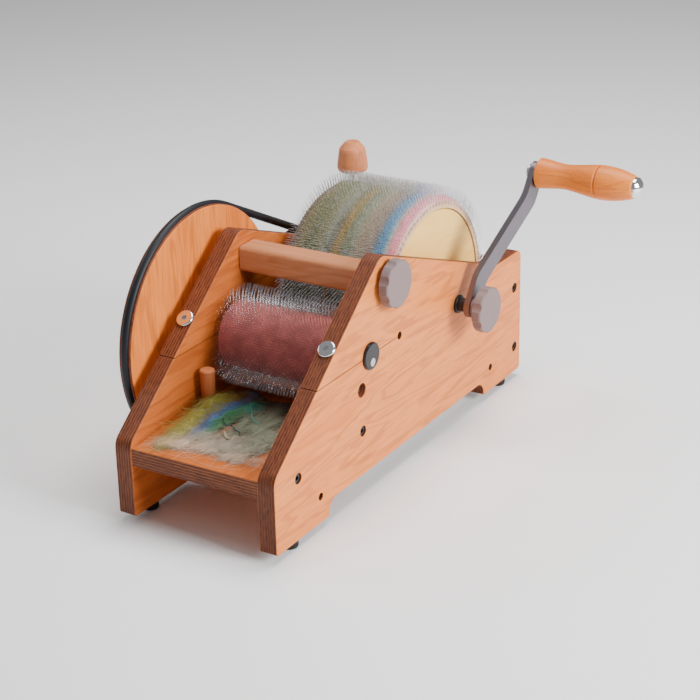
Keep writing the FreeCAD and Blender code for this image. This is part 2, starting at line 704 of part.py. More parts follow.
def lobed_knob(y, z, seat_x, rim_x, bore, bore_end_x):
    """Scalloped clamping knob on a boss; the bore is blind and opens at the seat."""
    face_x = rim_x + KNOB_RIM
    knob = turned_x([
        (seat_x, 9.5),
        (rim_x, 9.5),
        (rim_x, KNOB_RADIUS - 1.0),
        (rim_x + 1.0, KNOB_RADIUS),
        (face_x - 1.6, KNOB_RADIUS),
        (face_x - 0.5, KNOB_RADIUS - 0.6),
        (face_x, KNOB_RADIUS - 2.0),
    ], y, z)
    for k in range(KNOB_LOBES):
        angle = 2 * math.pi * (k + 0.5) / KNOB_LOBES
        scallop_y = y + (KNOB_RADIUS + 7.2) * math.cos(angle)
        scallop_z = z + (KNOB_RADIUS + 7.2) * math.sin(angle)
        knob = knob.cut(cylinder_x(scallop_y, scallop_z, 8.8, rim_x - 1, face_x + 1))
    return knob.cut(cylinder_x(y, z, bore, seat_x - 1, bore_end_x))


# --- Brush bar ---------------------------------------------------------------------------


def bristle_block():
    """Closed outer shape of the bristle strip, set on the line to the main drum's axis."""
    to_drum = V(0, MAIN_Y - BRUSH_Y, MAIN_Z - BRUSH_Z)
    tip_radius = to_drum.Length - MAIN_TIP_RADIUS - BRISTLE_GAP
    block = Part.makeBox(2 * DRUM_HALF_WIDTH, BRISTLE_WIDTH, tip_radius + 5 - BRISTLE_ROOT,
                         V(-DRUM_HALF_WIDTH, -BRISTLE_WIDTH / 2, BRISTLE_ROOT))
    angle = math.degrees(math.atan2(to_drum.y, to_drum.z))
    block.rotate(V(0, 0, 0), X_AXIS, -angle)
    block.translate(V(0, BRUSH_Y, BRUSH_Z))
    return block.common(cylinder_x(BRUSH_Y, BRUSH_Z, tip_radius, -DRUM_HALF_WIDTH, DRUM_HALF_WIDTH))


def brush_bar():
    """Wooden cross bar that carries the bristles."""
    bar = Part.makeBox(2 * BAR_HALF_WIDTH, BAR_DEPTH, BAR_HEIGHT,
                       V(-BAR_HALF_WIDTH, BRUSH_Y - BAR_DEPTH / 2, BRUSH_Z - BAR_HEIGHT / 2))
    bar = bar.makeFillet(BAR_EDGE, [e for e in bar.Edges if e.BoundBox.XLength > 50])
    bar = bar.cut(bristle_block())
    for side in (1, -1):
        bar = bar.cut(cylinder_x(BRUSH_Y, BRUSH_Z, BRUSH_STUD_RADIUS, side * 62, side * (BAR_HALF_WIDTH + 1)))
    return bar


def brush_stud():
    """Threaded stud from the bar through the right panel."""
    return cylinder_x(BRUSH_Y, BRUSH_Z, BRUSH_STUD_RADIUS, 62, 96)


def brush_pivot_screw():
    """Screw that the left end of the bar turns on; its head sits flush in the panel."""
    head = cylinder_x(BRUSH_Y, BRUSH_Z, 6, -(OUTER_FACE - 3.9), -(OUTER_FACE - 0.6))
    head = head.cut(hex_prism(4, 3, V(-(OUTER_FACE - 0.4), BRUSH_Y, BRUSH_Z), X_AXIS))
    return head.fuse(cylinder_x(BRUSH_Y, BRUSH_Z, BRUSH_STUD_RADIUS, -(OUTER_FACE - 3.9), -62))


def brush_washers():
    """Thin washers between the bar's ends and the panels."""
    return Part.makeCompound([
        tube_x(BRUSH_Y, BRUSH_Z, BRUSH_STUD_RADIUS, 8, side * BAR_HALF_WIDTH, side * (INNER_FACE - 0.15))
        for side in (1, -1)
    ])


# --- Doffer ------------------------------------------------------------------------------


def doffer_rod():
    """Steel rod that lifts the finished batt off the drum, stored in the left panel."""
    length = DOFFER_HANDLE_BOTTOM_Z + 18 - DOFFER_ROD_BOTTOM_Z
    return Part.makeCylinder(DOFFER_ROD_RADIUS, length, V(-MID_PLY, DOFFER_Y, DOFFER_ROD_BOTTOM_Z))


def doffer_handle():
    """Short turned handle, wider at the bottom, with a flat top."""
    bottom, top = DOFFER_HANDLE_BOTTOM_Z, DOFFER_HANDLE_TOP_Z
    handle = turned_z([
        (bottom, 13.2),
        (bottom + 1.2, 15.0),
        (bottom + 4, DOFFER_HANDLE_RADIUS),
        (bottom + 9, DOFFER_HANDLE_RADIUS - 0.2),
        (top - 9, 13.9),
        (top - 6.5, 13.0),
        (top, 7.2),
    ], -MID_PLY, DOFFER_Y)
    return handle.cut(doffer_rod())


# --- Fibre -------------------------------------------------------------------------------


def fibre_on_tray():
    """Low soft layer of loose fibre between the tray and the small drum."""
    base = TRAY_TOP_Z + 0.05
    outline = [(-58, 14, 12), (-60, 150, 8), (60, 150, 8), (60, 30, 14)]
    wire = rounded_wire(outline, lambda x, y: V(x, y, base))
    layer = Part.Face(wire).extrude(V(0, 0, FIBRE_TOP_Z - base))
    for side in (1, -1):
        layer = layer.cut(Part.makeCylinder(8, 20, V(side * PEG_X, PEG_Y, base - 5)))
    return layer


def build_nodes():
    """Every node by name, in the working frame."""
    licker = (LICKER_Y, LICKER_Z)
    main = (MAIN_Y, MAIN_Z)
    half = DRUM_HALF_WIDTH
    wide = MAIN_HALF_WIDTH
    return {
        "side_panel_right": side_panel(1),
        "side_panel_left": side_panel(-1),
        "feed_tray": feed_tray(),
        "rear_board": rear_board(),
        "guide_pegs": guide_pegs(),
        "rubber_feet": rubber_feet(),
        "foot_screws": foot_screws(),
        "frame_screws": frame_screws(),
        "main_bush_right": main_bush(1),
        "main_bush_left": main_bush(-1),
        "barrel_nuts": barrel_nuts(),
        "clamp_bolt_right": clamp_bolt(1),
        "clamp_bolt_left": clamp_bolt(-1),
        "eccentric_bush_right": eccentric_bush(1),
        "eccentric_bush_left": eccentric_bush(-1),
        "licker_axle": licker_axle(),
        "licker_core": tube_x(*licker, LICKER_AXLE_RADIUS, LICKER_CORE_RADIUS, -half, half),
        "licker_card_cloth": tube_x(*licker, LICKER_CORE_RADIUS, LICKER_CLOTH_RADIUS, -half, half),
        "licker_card_pins": tube_x(*licker, LICKER_CLOTH_RADIUS, LICKER_TIP_RADIUS, -half, half),
        "licker_spacers": licker_spacers(),
        "drive_wheel": drive_wheel(),
        "wheel_hub": wheel_hub(),
        "wheel_hub_screws": wheel_hub_screws(),
        "wheel_washer": end_washer(*licker, LICKER_AXLE_RADIUS, 11),
        "wheel_nut": end_nut(*licker, LICKER_AXLE_RADIUS, 13),
        "drive_belt": drive_belt(),
        "main_axle": cylinder_x(*main, MAIN_AXLE_RADIUS, LEFT_END_X, CRANK_KNOB_X + 5),
        "axle_spacer_right": axle_spacer(1),
        "axle_spacer_left": axle_spacer(-1),
        "drum_shell": tube_x(*main, MAIN_DISC_RADIUS, MAIN_SHELL_RADIUS, -wide, wide),
        "drum_end_disc_right": drum_end_disc(1),
        "drum_end_disc_left": drum_end_disc(-1),
        "drum_collars": drum_collars(),
        "main_card_cloth": tube_x(*main, MAIN_SHELL_RADIUS, MAIN_CLOTH_RADIUS, -wide, wide),
        "fibre_batt": tube_x(*main, MAIN_CLOTH_RADIUS, MAIN_BATT_RADIUS, -wide, wide),
        "main_card_pins": tube_x(*main, MAIN_BATT_RADIUS, MAIN_TIP_RADIUS, -wide, wide),
        "drum_pulley": drum_pulley(),
        "pulley_washer": end_washer(*main, MAIN_AXLE_RADIUS, 12),
        "pulley_nut": end_nut(*main, MAIN_AXLE_RADIUS, 17),
        "crank_arm": crank_arm(),
        "crank_knob": lobed_knob(*main, ARM_ROOT_X + ARM_THICKNESS + FACE_GAP, CRANK_KNOB_X,
                                 MAIN_AXLE_RADIUS + RUN_FIT, CRANK_KNOB_X + 5.5),
        "handle_spindle": handle_spindle(),
        "handle_washer": handle_washer(),
        "crank_handle": crank_handle(),
        "handle_end_cap": handle_end_cap(),
        "brush_bar": brush_bar(),
        "brush_bristles": bristle_block(),
        "brush_stud": brush_stud(),
        "brush_pivot_screw": brush_pivot_screw(),
        "brush_washers": brush_washers(),
        "brush_knob": lobed_knob(BRUSH_Y, BRUSH_Z, OUTER_FACE + FACE_GAP, OUTER_FACE + 4.0,
                                 BRUSH_STUD_RADIUS + RUN_FIT, 96.5),
        "doffer_rod": doffer_rod(),
        "doffer_handle": doffer_handle(),
        "fibre_on_tray": fibre_on_tray(),
    }


def main():
    """Build, check and write every node."""
    os.makedirs("parts", exist_ok=True)
    for name, shape in build_nodes().items():
        placed = shape.copy()
        placed.translate(ROW_ORIGIN * -1)
        solids = placed.Solids
        if not solids or not all(s.isValid() and s.Volume > 0 for s in solids):
            raise ValueError(f"{name} is not a set of valid solids")
        placed = solids[0] if len(solids) == 1 else Part.makeCompound(solids)
        placed.exportStep(f"parts/{name}.step")
        box = placed.BoundBox
        print(f"{name:22s} solids {len(solids)}  volume {placed.Volume / 1000:9.2f} cm3  "
              f"X {box.XMin:7.1f} {box.XMax:7.1f}  Y {box.YMin:7.1f} {box.YMax:7.1f}  Z {box.ZMin:6.1f} {box.ZMax:6.1f}")


if __name__ == "__main__":
    main()
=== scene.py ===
"""Looks of a table-top drum carder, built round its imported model."""
import json
import math

import bmesh
import bpy
import numpy as np
from bpy.props import FloatProperty, FloatVectorProperty, IntProperty, PointerProperty
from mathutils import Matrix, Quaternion, Vector, noise


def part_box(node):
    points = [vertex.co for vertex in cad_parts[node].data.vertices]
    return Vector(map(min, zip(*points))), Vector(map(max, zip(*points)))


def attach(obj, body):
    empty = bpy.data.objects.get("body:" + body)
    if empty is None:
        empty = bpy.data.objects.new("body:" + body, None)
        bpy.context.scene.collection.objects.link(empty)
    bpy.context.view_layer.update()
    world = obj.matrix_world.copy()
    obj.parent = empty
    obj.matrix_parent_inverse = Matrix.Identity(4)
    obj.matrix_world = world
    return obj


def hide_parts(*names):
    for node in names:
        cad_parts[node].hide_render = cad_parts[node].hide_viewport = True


bl_info = {
    "name": "Drum Carder",
    "version": (1, 0, 0),
    "blender": (4, 5, 0),
    "location": "View3D > Sidebar > Drum Carder",
    "description": "Gives a drum carder its wood, card cloth, pins, bristles and fibre",
    "category": "Object",
}

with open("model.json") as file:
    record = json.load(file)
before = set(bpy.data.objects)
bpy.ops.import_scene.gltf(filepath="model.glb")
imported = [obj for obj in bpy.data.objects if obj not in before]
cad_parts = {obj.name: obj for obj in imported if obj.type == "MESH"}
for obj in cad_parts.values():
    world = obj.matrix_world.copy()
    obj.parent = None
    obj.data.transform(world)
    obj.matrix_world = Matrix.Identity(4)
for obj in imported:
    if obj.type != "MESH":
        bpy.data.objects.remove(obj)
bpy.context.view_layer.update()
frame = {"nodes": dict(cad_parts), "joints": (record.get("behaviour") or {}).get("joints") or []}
AXES = {joint["name"]: Vector(joint["pos_m"]) for joint in frame["joints"]}
MM = 0.001


def box_middle(node):
    """Middle of a CAD node's bounding box."""
    low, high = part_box(node)
    return (low + high) / 2


# --- Node trees written as expressions ----------------------------------------------------


class Wire:
    """One value in a node tree, which Python's operators can be used on."""

    def __init__(self, tree, socket):
        self.tree = tree
        self.socket = socket

    def math(self, operation, *others):
        values = dict(enumerate((self, *others)))
        return self.tree.node("ShaderNodeMath", {"operation": operation}, values)

    def _swapped(self, operation, other):
        return self.tree.node("ShaderNodeMath", {"operation": operation}, {0: other, 1: self})

    def __add__(self, other):
        return self.math("ADD", other)

    __radd__ = __add__

    def __sub__(self, other):
        return self.math("SUBTRACT", other)

    def __rsub__(self, other):
        return self._swapped("SUBTRACT", other)

    def __mul__(self, other):
        return self.math("MULTIPLY", other)

    __rmul__ = __mul__

    def __truediv__(self, other):
        return self.math("DIVIDE", other)

    def __rtruediv__(self, other):
        return self._swapped("DIVIDE", other)

    def __neg__(self):
        return self.math("MULTIPLY", -1.0)

    def __abs__(self):
        return self.math("ABSOLUTE")

    def between(self, low, high):
        """0 below low, 1 above high, with a smooth step between; low may be the larger."""
        limits = {"Value": self, "From Min": low, "From Max": high}
        return self.tree.node("ShaderNodeMapRange", {"interpolation_type": "SMOOTHSTEP"}, limits)


class Tree:
    """A node tree that is written one node at a time."""

    def __init__(self, tree):
        self.tree = tree
        self.tree.nodes.clear()

    def node(self, kind, settings=None, values=None, output=0):
        """Add a node: its settings first, then the values or wires of its sockets."""
        made = self.tree.nodes.new(kind)
        for key, value in (settings or {}).items():
            if key == "stops":
                self._set_stops(made.color_ramp, value)
            else:
                setattr(made, key, value)
        for key, value in (values or {}).items():
            if isinstance(value, Wire):
                self.tree.links.new(value.socket, made.inputs[key])
            else:
                made.inputs[key].default_value = value
        return Wire(self, made.outputs[output]) if len(made.outputs) else None

    @staticmethod
    def _set_stops(ramp, stops):
        while len(ramp.elements) > 1:
            ramp.elements.remove(ramp.elements[-1])
        for i, (place, color) in enumerate(stops):
            element = ramp.elements[0] if i == 0 else ramp.elements.new(place)
            element.position = place
            element.color = (*color, 1.0)

    def vector(self, x=0.0, y=0.0, z=0.0):
        return self.node("ShaderNodeCombineXYZ", None, {0: x, 1: y, 2: z})

    def split(self, vector):
        first = self.node("ShaderNodeSeparateXYZ", None, {0: vector})
        outputs = first.socket.node.outputs
        return [Wire(self, outputs[i]) for i in range(3)]

    def vmath(self, operation, *vectors, output=0):
        return self.node("ShaderNodeVectorMath", {"operation": operation}, dict(enumerate(vectors)), output)


class Finish(Tree):
    """The node tree of one material."""

    def __init__(self, name):
        self.material = bpy.data.materials.new(name)
        self.material.use_nodes = True
        super().__init__(self.material.node_tree)
        self.place = self.node("ShaderNodeTexCoord", output=3)

    def noise(self, vector, scale=1.0, detail=3.0, roughness=0.5, distortion=0.0):
        return self.node("ShaderNodeTexNoise", None, {
            "Vector": vector, "Scale": scale, "Detail": detail, "Roughness": roughness,
            "Distortion": distortion})

    def stretched(self, scale, detail=3.0, roughness=0.5, distortion=0.0,
                  location=(0, 0, 0), rotation=(0, 0, 0)):
        """Noise on the piece's own coordinates, with a scale for each axis."""
        values = {"Vector": self.place, "Location": location, "Rotation": rotation, "Scale": scale}
        mapped = self.node("ShaderNodeMapping", None, values)
        return self.noise(mapped, 1.0, detail, roughness, distortion)

    def mix(self, factor, a, b):
        """Colour between a and b, which are colours or wires."""
        values = {0: factor}
        for index, value in ((6, a), (7, b)):
            values[index] = value if isinstance(value, Wire) else (*value, 1.0)
        return self.node("ShaderNodeMix", {"data_type": "RGBA"}, values, output=2)

    def ramp(self, factor, stops):
        return self.node("ShaderNodeValToRGB", {"stops": stops}, {0: factor})

    def bump(self, height, distance, strength=1.0):
        values = {"Height": height, "Distance": distance, "Strength": strength}
        return self.node("ShaderNodeBump", None, values)

    def done(self, color, roughness=0.5, normal=None, **sockets):
        """Finish with a Principled BSDF; sockets are set by name with _ for spaces."""
        values = {"Base Color": color, "Roughness": roughness}
        if normal is not None:
            values["Normal"] = normal
        for name, value in sockets.items():
            values[name.replace("_", " ")] = value
        surface = self.node("ShaderNodeBsdfPrincipled", None, values)
        self.node("ShaderNodeOutputMaterial", None, {"Surface": surface})
        return self.material


class Recipe(Tree):
    """A Geometry Nodes tree with named inputs."""

    KINDS = {float: "NodeSocketFloat", int: "NodeSocketInt", Vector: "NodeSocketVector"}

    def __init__(self, name, inputs):
        super().__init__(bpy.data.node_groups.new(name, "GeometryNodeTree"))
        sockets = self.tree.interface
        sockets.new_socket("Geometry", in_out="INPUT", socket_type="NodeSocketGeometry")
        for label, value in inputs.items():
            item = sockets.new_socket(label, in_out="INPUT", socket_type=self.KINDS[type(value)])
            item.default_value = value
        sockets.new_socket("Material", in_out="INPUT", socket_type="NodeSocketMaterial")
        sockets.new_socket("Geometry", in_out="OUTPUT", socket_type="NodeSocketGeometry")
        self.entry = self.tree.nodes.new("NodeGroupInput")

    def __getitem__(self, label):
        return Wire(self, self.entry.outputs[label])

    def position(self):
        return self.node("GeometryNodeInputPosition")

    def chance(self, low, high, draw=0):
        """A random number for each point; every draw of a recipe has its own seed."""
        values = {2: low, 3: high, "Seed": self["Seed"] + draw if draw else self["Seed"]}
        return self.node("FunctionNodeRandomValue", {"data_type": "FLOAT"}, values, 1)

    def grid(self, size_x, size_y, count_x, count_y):
        return self.node("GeometryNodeMeshGrid", None, {
            "Size X": size_x, "Size Y": size_y, "Vertices X": count_x, "Vertices Y": count_y})

    def moved(self, geometry, **where):
        return self.node("GeometryNodeSetPosition", None, {"Geometry": geometry, **where})

    def planted(self, points, shape, rotation, scale):
        """A copy of a shape on every point."""
        return self.node("GeometryNodeInstanceOnPoints", None, {
            "Points": points, "Instance": shape, "Rotation": rotation, "Scale": scale})

    def done(self, geometry):
        """End the tree with Realize Instances and Set Material."""
        real = self.node("GeometryNodeRealizeInstances", None, {0: geometry})
        values = {"Geometry": real, "Material": self["Material"]}
        painted = self.node("GeometryNodeSetMaterial", None, values)
        self.node("NodeGroupOutput", None, {0: painted})
        return self


def grow(name, recipe, material, host=None, **values):
    """A plain mesh object from a recipe; values are its inputs, with _ for spaces."""
    seed = bpy.data.objects.new(name, host.data.copy() if host else bpy.data.meshes.new(name))
    bpy.context.scene.collection.objects.link(seed)
    modifier = seed.modifiers.new(name, "NODES")
    modifier.node_group = recipe.tree
    given = {label.replace("_", " "): value for label, value in values.items()}
    given["Material"] = material
    for item in recipe.tree.interface.items_tree:
        if item.item_type == "SOCKET" and item.in_out == "INPUT" and item.name in given:
            modifier[item.identifier] = given.pop(item.name)
    if given:
        raise ValueError(f"{name}: the recipe has no input named {sorted(given)}")
    graph = bpy.context.evaluated_depsgraph_get()
    mesh = bpy.data.meshes.new_from_object(seed.evaluated_get(graph))
    seed.modifiers.remove(modifier)
    seed.data = mesh
    mesh.name = name
    if not mesh.polygons:
        raise ValueError(f"{name} came out empty")
    return seed


# --- Materials ----------------------------------------------------------------------------


# Face, late wood, figure and ply edge of each wood, and the line of glue between plies
# The ply edge colour is the plies' own dark colour, made darker still as painted shade for edges that face
# the front.
PLY_EDGE_WITH_SHADE = (0.125, 0.032, 0.013)
GLUE_LINE = (0.36, 0.115, 0.038)
CHERRY = ((0.76, 0.235, 0.052), (0.48, 0.115, 0.02), (0.66, 0.165, 0.028), PLY_EDGE_WITH_SHADE)
# A darker copy of the cherry: painted shade for the left side panel and the feed tray.
CHERRY_SHADED = ((0.52, 0.135, 0.026), (0.31, 0.066, 0.011), (0.42, 0.085, 0.014), PLY_EDGE_WITH_SHADE)
CHERRY_FLAMED = ((0.78, 0.22, 0.036), (0.48, 0.11, 0.014), (0.64, 0.145, 0.018), PLY_EDGE_WITH_SHADE)


def shaded(color, share):
    """A colour made darker, or lighter where the share is over 1."""
    return [min(1.0, part * share) for part in color]


def veneer(finish, along, light, dark, tint, seed=0.0):
    """Colour and height of a sliced wood face whose grain runs along axis 0, 1 or 2."""
    slow = [26.0, 26.0, 26.0]
    slow[along] = 3.2
    fine = [900.0, 900.0, 900.0]
    fine[along] = 16.0
    offset = (seed, seed * 1.7, seed * 0.6)
    figure = finish.stretched(slow, 3.0, 0.55, 0.5, offset)
    rings = (figure * 52.0).math("SINE") * 0.5 + 0.5
    late = rings.between(0.62, 1.0)
    streaks = finish.stretched([s * 7 for s in slow], 4.0, 0.6, location=offset)
    fibres = finish.stretched(fine, 2.0, 0.7, location=offset)
    color = finish.mix(late * 0.45 + (streaks - 0.5) * 1.3 + 0.12, light, dark)
    color = finish.mix(figure.between(0.50, 0.66) * 0.6, color, tint)
    pores = fibres.between(0.58, 0.72)
    color = finish.mix(pores * 0.4, color, shaded(dark, 0.45))
    height = rings * 0.25 + fibres * 0.5 - pores * 0.4
    return color, height


def plywood(name, layers, middle, half, along, pitch, palette, seed=0.0):
    """Veneered plywood: layers is the axis across the plies, middle and half in metres."""
    light, dark, tint, edge = palette
    finish = Finish(name)
    parts = finish.split(finish.place)
    across = parts[layers] - middle
    depth = abs(across)
    color, height = veneer(finish, along, light, dark, tint, seed)
    uneven = across + (across * 2300.0 + seed).math("SINE") * 0.00035
    wobble = finish.stretched((60, 60, 60), 2.0) - 0.5
    glue = (uneven.math("PINGPONG", pitch / 2) + wobble * 0.0004).between(0.00034, 0.0001)
    lengthwise = [700.0, 130.0, 130.0]
    lengthwise[0], lengthwise[layers] = lengthwise[layers], 700.0
    grain = finish.stretched(lengthwise, 4.0, 0.65)
    # The edge colour here carries the painted shade of the front-facing ply edges.
    edge_color = finish.mix(grain.between(0.3, 0.7), shaded(edge, 0.5), shaded(edge, 1.4))
    edge_color = finish.mix(glue * 0.85, edge_color, GLUE_LINE)
    on_face = depth.between(half - 0.0005, half - 0.00025)
    dirt = finish.noise(finish.place, 18.0, 3.0, 0.6)
    blended = finish.mix(on_face, edge_color, color)
    blended = finish.mix(dirt.between(0.62, 0.8) * 0.12, blended, shaded(dark, 0.5))
    heights = {0: on_face, 2: grain - glue * 0.6, 3: height}
    relief = finish.node("ShaderNodeMix", {"data_type": "FLOAT"}, heights)
    roughness = 0.36 + finish.stretched((9, 9, 9)) * 0.16 + (1 - on_face) * 0.08
    bump = finish.bump(relief, 0.00012, 0.55)
    return finish.done(blended, roughness, bump, Specular_IOR_Level=0.22)


def solid_wood(name, along, light, dark, tint, seed=0.0, roughness=0.42):
    """Turned or planed wood with its grain along one axis."""
    finish = Finish(name)
    color, height = veneer(finish, along, light, dark, tint, seed)
    bump = finish.bump(height, 0.0001, 0.5)
    sheen = roughness + finish.stretched((14, 14, 14)) * 0.1
    return finish.done(color, sheen, bump, Specular_IOR_Level=0.25)


def end_disc_wood(name):
    """Pale sanded disc, warmer towards the bottom, with soft grain and a dark edge line."""
    finish = Finish(name)
    light, dark, tint = (0.96, 0.58, 0.13), (0.84, 0.38, 0.06), (0.90, 0.44, 0.07)
    color, height = veneer(finish, 1, light, dark, tint, 3.1)
    pale = finish.mix(0.6, color, (0.97, 0.61, 0.17))
    patch = finish.stretched((9, 9, 14), 2.0, 0.4)
    pale = finish.mix(patch.between(0.50, 0.70) * 0.5, pale, (0.80, 0.31, 0.035))
    axis = AXES["main_drum_spin"]
    y, z = finish.split(finish.place)[1:]
    radius = finish.vmath("LENGTH", finish.vector(0.0, y - axis.y, z - axis.z), output="Value")
    rim = radius.between(0.0902, 0.0907)
    pale = finish.mix(rim * 0.8, pale, (0.30, 0.12, 0.05))
    bump = finish.bump(height, 0.00006, 0.4)
    return finish.done(pale, 0.38 + patch * 0.1, bump, Specular_IOR_Level=0.25)


def moulded(name, color, roughness, speckle=1600.0, depth=0.00006, mottle=0.12):
    """Moulded plastic or rubber: a fine grain, slight mottling and scuffs."""
    finish = Finish(name)
    grain = finish.noise(finish.place, speckle, 2.0, 0.6)
    clouds = finish.noise(finish.place, 60.0, 4.0, 0.6)
    scuffs = finish.stretched((300, 60, 60), 3.0, 0.7).between(0.62, 0.8)
    shade = finish.mix(clouds * mottle * 2, color, shaded(color, 0.6))
    shade = finish.mix(scuffs * 0.15, shade, [min(1.0, c * 1.4 + 0.02) for c in color])
    rough = roughness + (clouds - 0.5) * 0.12 + scuffs * 0.08
    return finish.done(shade, rough, finish.bump(grain, depth, 0.5), Specular_IOR_Level=0.3)


def metal(name, color, roughness, brushed=None, metallic=1.0):
    """Metal with fine scratches; brushed is the axis that the scratches run along."""
    finish = Finish(name)
    scale = [260.0, 260.0, 260.0]
    if brushed is not None:
        scale = [1500.0, 1500.0, 1500.0]
        scale[brushed] = 25.0
    lines = finish.stretched(scale, 3.0, 0.6)
    clouds = finish.noise(finish.place, 45.0, 3.0, 0.6)
    shade = finish.mix(lines * 0.35 + clouds * 0.15, color, shaded(color, 0.66))
    rough = roughness + (lines - 0.5) * 0.14 + (clouds - 0.5) * 0.1
    return finish.done(shade, rough, finish.bump(lines, 0.00004, 0.35), Metallic=metallic)


def card_cloth(name, color, around):
    """Rubber-faced card cloth with woven texture; around is the axis point of its drum."""
    finish = Finish(name)
    x, y, z = finish.split(finish.place)
    turn = (y - around.y).math("ARCTAN2", z - around.z)
    across, round_drum = x * 1900.0, turn * 48.0
    weave = (across + round_drum).math("SINE") * (across - round_drum).math("SINE")
    clouds = finish.noise(finish.place, 70.0, 4.0, 0.6)
    shade = finish.mix(clouds.between(0.3, 0.7), shaded(color, 0.75), shaded(color, 1.25))
    shade = finish.mix(weave.between(-0.1, 0.7) * 0.62, shade, shaded(color, 0.35))
    lint = finish.stretched((400, 90, 90), 3.0, 0.7).between(0.66, 0.8)
    shade = finish.mix(lint * 0.35, shade, (0.55, 0.50, 0.44))
    return finish.done(shade, 0.72, finish.bump(weave, 0.0003, 0.4))


# Colours of the carded fibre, each with its place from 0 to 1 along the drum
FIBRE_BANDS = (
    (0.0, (0.1, 0.05, 0.03)), (0.06, (0.13, 0.085, 0.03)), (0.14, (0.12, 0.105, 0.024)),
    (0.21, (0.09, 0.105, 0.03)), (0.28, (0.15, 0.14, 0.05)), (0.35, (0.19, 0.2, 0.13)),
    (0.405, (0.1, 0.1, 0.06)), (0.44, (0.22, 0.135, 0.012)), (0.475, (0.23, 0.14, 0.012)),
    (0.51, (0.14, 0.14, 0.055)), (0.57, (0.17, 0.2, 0.12)), (0.63, (0.26, 0.21, 0.13)),
    (0.69, (0.24, 0.17, 0.1)), (0.745, (0.24, 0.17, 0.12)), (0.785, (0.15, 0.13, 0.11)),
    (0.812, (0.06, 0.17, 0.27)), (0.85, (0.04, 0.19, 0.38)), (0.885, (0.11, 0.27, 0.38)),
    (0.905, (0.34, 0.36, 0.28)), (0.93, (0.52, 0.16, 0.21)), (0.968, (0.62, 0.14, 0.19)),
    (0.985, (0.62, 0.3, 0.27)), (1.0, (0.72, 0.54, 0.45)),
)


WOOL_SURFACE = {"Specular_IOR_Level": 0.3, "Sheen_Weight": 0.1, "Sheen_Roughness": 0.4}


def band_color(finish, low_x, high_x, axis, wander):
    """Colour of the carded fibre by its place along the drum, with fine combed streaks, painted pin glints
    and painted shade.
    """
    x, y, z = finish.split(finish.place)
    turn = (y - axis.y).math("ARCTAN2", z - axis.z)
    slow = finish.noise(finish.vector(x * 20.0, turn * 1.3, 0.0), 1.0, 2.0)
    combed = finish.noise(finish.vector(x * 1500.0, turn * 9.0, 1.0), 1.0, 4.0, 0.7)
    tufts = finish.noise(finish.vector(x * 420.0, turn * 34.0, 5.0), 1.0, 3.0, 0.6)
    share = (x - low_x) / (high_x - low_x)
    share = share + (slow - 0.5) * wander + (combed - 0.5) * wander * 0.45
    share = share + (tufts - 0.5) * wander * 0.5
    color = finish.ramp(share, FIBRE_BANDS)
    # Light and dark speckle: painted glints of the pins and painted shadows among them.
    pin_glint_and_shade_speckle = finish.noise(finish.place, 950.0, 2.0, 0.7)
    color = finish.mix(combed.between(0.54, 0.74) * 0.2, color, (0.45, 0.45, 0.34))
    color = finish.mix(pin_glint_and_shade_speckle.between(0.58, 0.68) * 0.6, color, (0.74, 0.70, 0.56))
    # Near-black where the tufts dip: painted shade in the hollows between them.
    color = finish.mix(tufts.between(0.44, 0.28) * 0.65, color, (0.02, 0.019, 0.015))
    color = finish.mix(pin_glint_and_shade_speckle.between(0.46, 0.34) * 0.6, color, (0.015, 0.014, 0.012))
    return color, combed, tufts


def carded_wool(name, low_x, high_x, axis, wander=0.05):
    """Combed wool on the drum in bands of colour."""
    finish = Finish(name)
    color, combed, tufts = band_color(finish, low_x, high_x, axis, wander)
    bump = finish.bump(combed * 0.6 + tufts, 0.0009, 0.8)
    return finish.done(color, 0.62, bump, **WOOL_SURFACE)


WOOL_LAY = (0, 0, 0.5)


def loose_wool(name):
    """Loose wool that takes its colour and its cover from the mesh."""
    finish = Finish(name)
    tint = finish.node("ShaderNodeAttribute", {"attribute_name": "tint"})
    combed = finish.stretched((1200, 130, 400), 4.0, 0.7, 0.4, rotation=WOOL_LAY)
    clumps = finish.stretched((260, 70, 200), 3.0, 0.6, rotation=WOOL_LAY)
    color = finish.mix(combed.between(0.52, 0.75) * 0.25, tint, (0.62, 0.62, 0.54))
    # Darker where the clumps dip: painted shade in the hollows between them.
    color = finish.mix(clumps.between(0.45, 0.3) * 0.4, color, (0.06, 0.05, 0.035))
    cover = finish.node("ShaderNodeAttribute", {"attribute_name": "cover"}, output="Fac")
    ragged = cover * 1.15 + (combed - 0.5) * 1.3 + (clumps - 0.5) * 0.8 - 0.36
    bump = finish.bump(combed + clumps, 0.0008, 0.8)
    return finish.done(color, 0.6, bump, Alpha=ragged.between(0.0, 0.7), **WOOL_SURFACE)


def strand_wool(name):
    """Single fibres, coloured by where they grow."""
    finish = Finish(name)
    tint = finish.node("ShaderNodeAttribute", {"attribute_name": "tint"})
    glint = finish.noise(finish.place, 900.0, 2.0, 0.6)
    color = finish.mix(glint.between(0.5, 0.75) * 0.35, tint, (0.7, 0.7, 0.62))
    return finish.done(color, 0.42, Specular_IOR_Level=0.35)


def paint(material, *nodes):
    """Give CAD nodes one material on all their slots."""
    for node in nodes:
        data = frame["nodes"][node].data
        data.materials.clear()
        data.materials.append(material)


# --- Meshes made in code --------------------------------------------------------------------


def new_piece(name, bm, material, body, slot, *replaced):
    """Turn a bmesh into a piece that rides on a body and stands for CAD nodes."""
    mesh = bpy.data.meshes.new(name)
    bm.to_mesh(mesh)
    bm.free()
    piece = bpy.data.objects.new(name, mesh)
    bpy.context.scene.collection.objects.link(piece)
    mesh.materials.append(material)
    return settle(piece, body, slot, *replaced)


def settle(piece, body, slot, *replaced):
    """Hand a finished piece to its body and hide the CAD nodes that it replaces; slot is not used."""
    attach(piece, body)
    if replaced:
        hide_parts(*replaced)
    return piece


def smooth(bm):
    for face in bm.faces:
        face.smooth = True


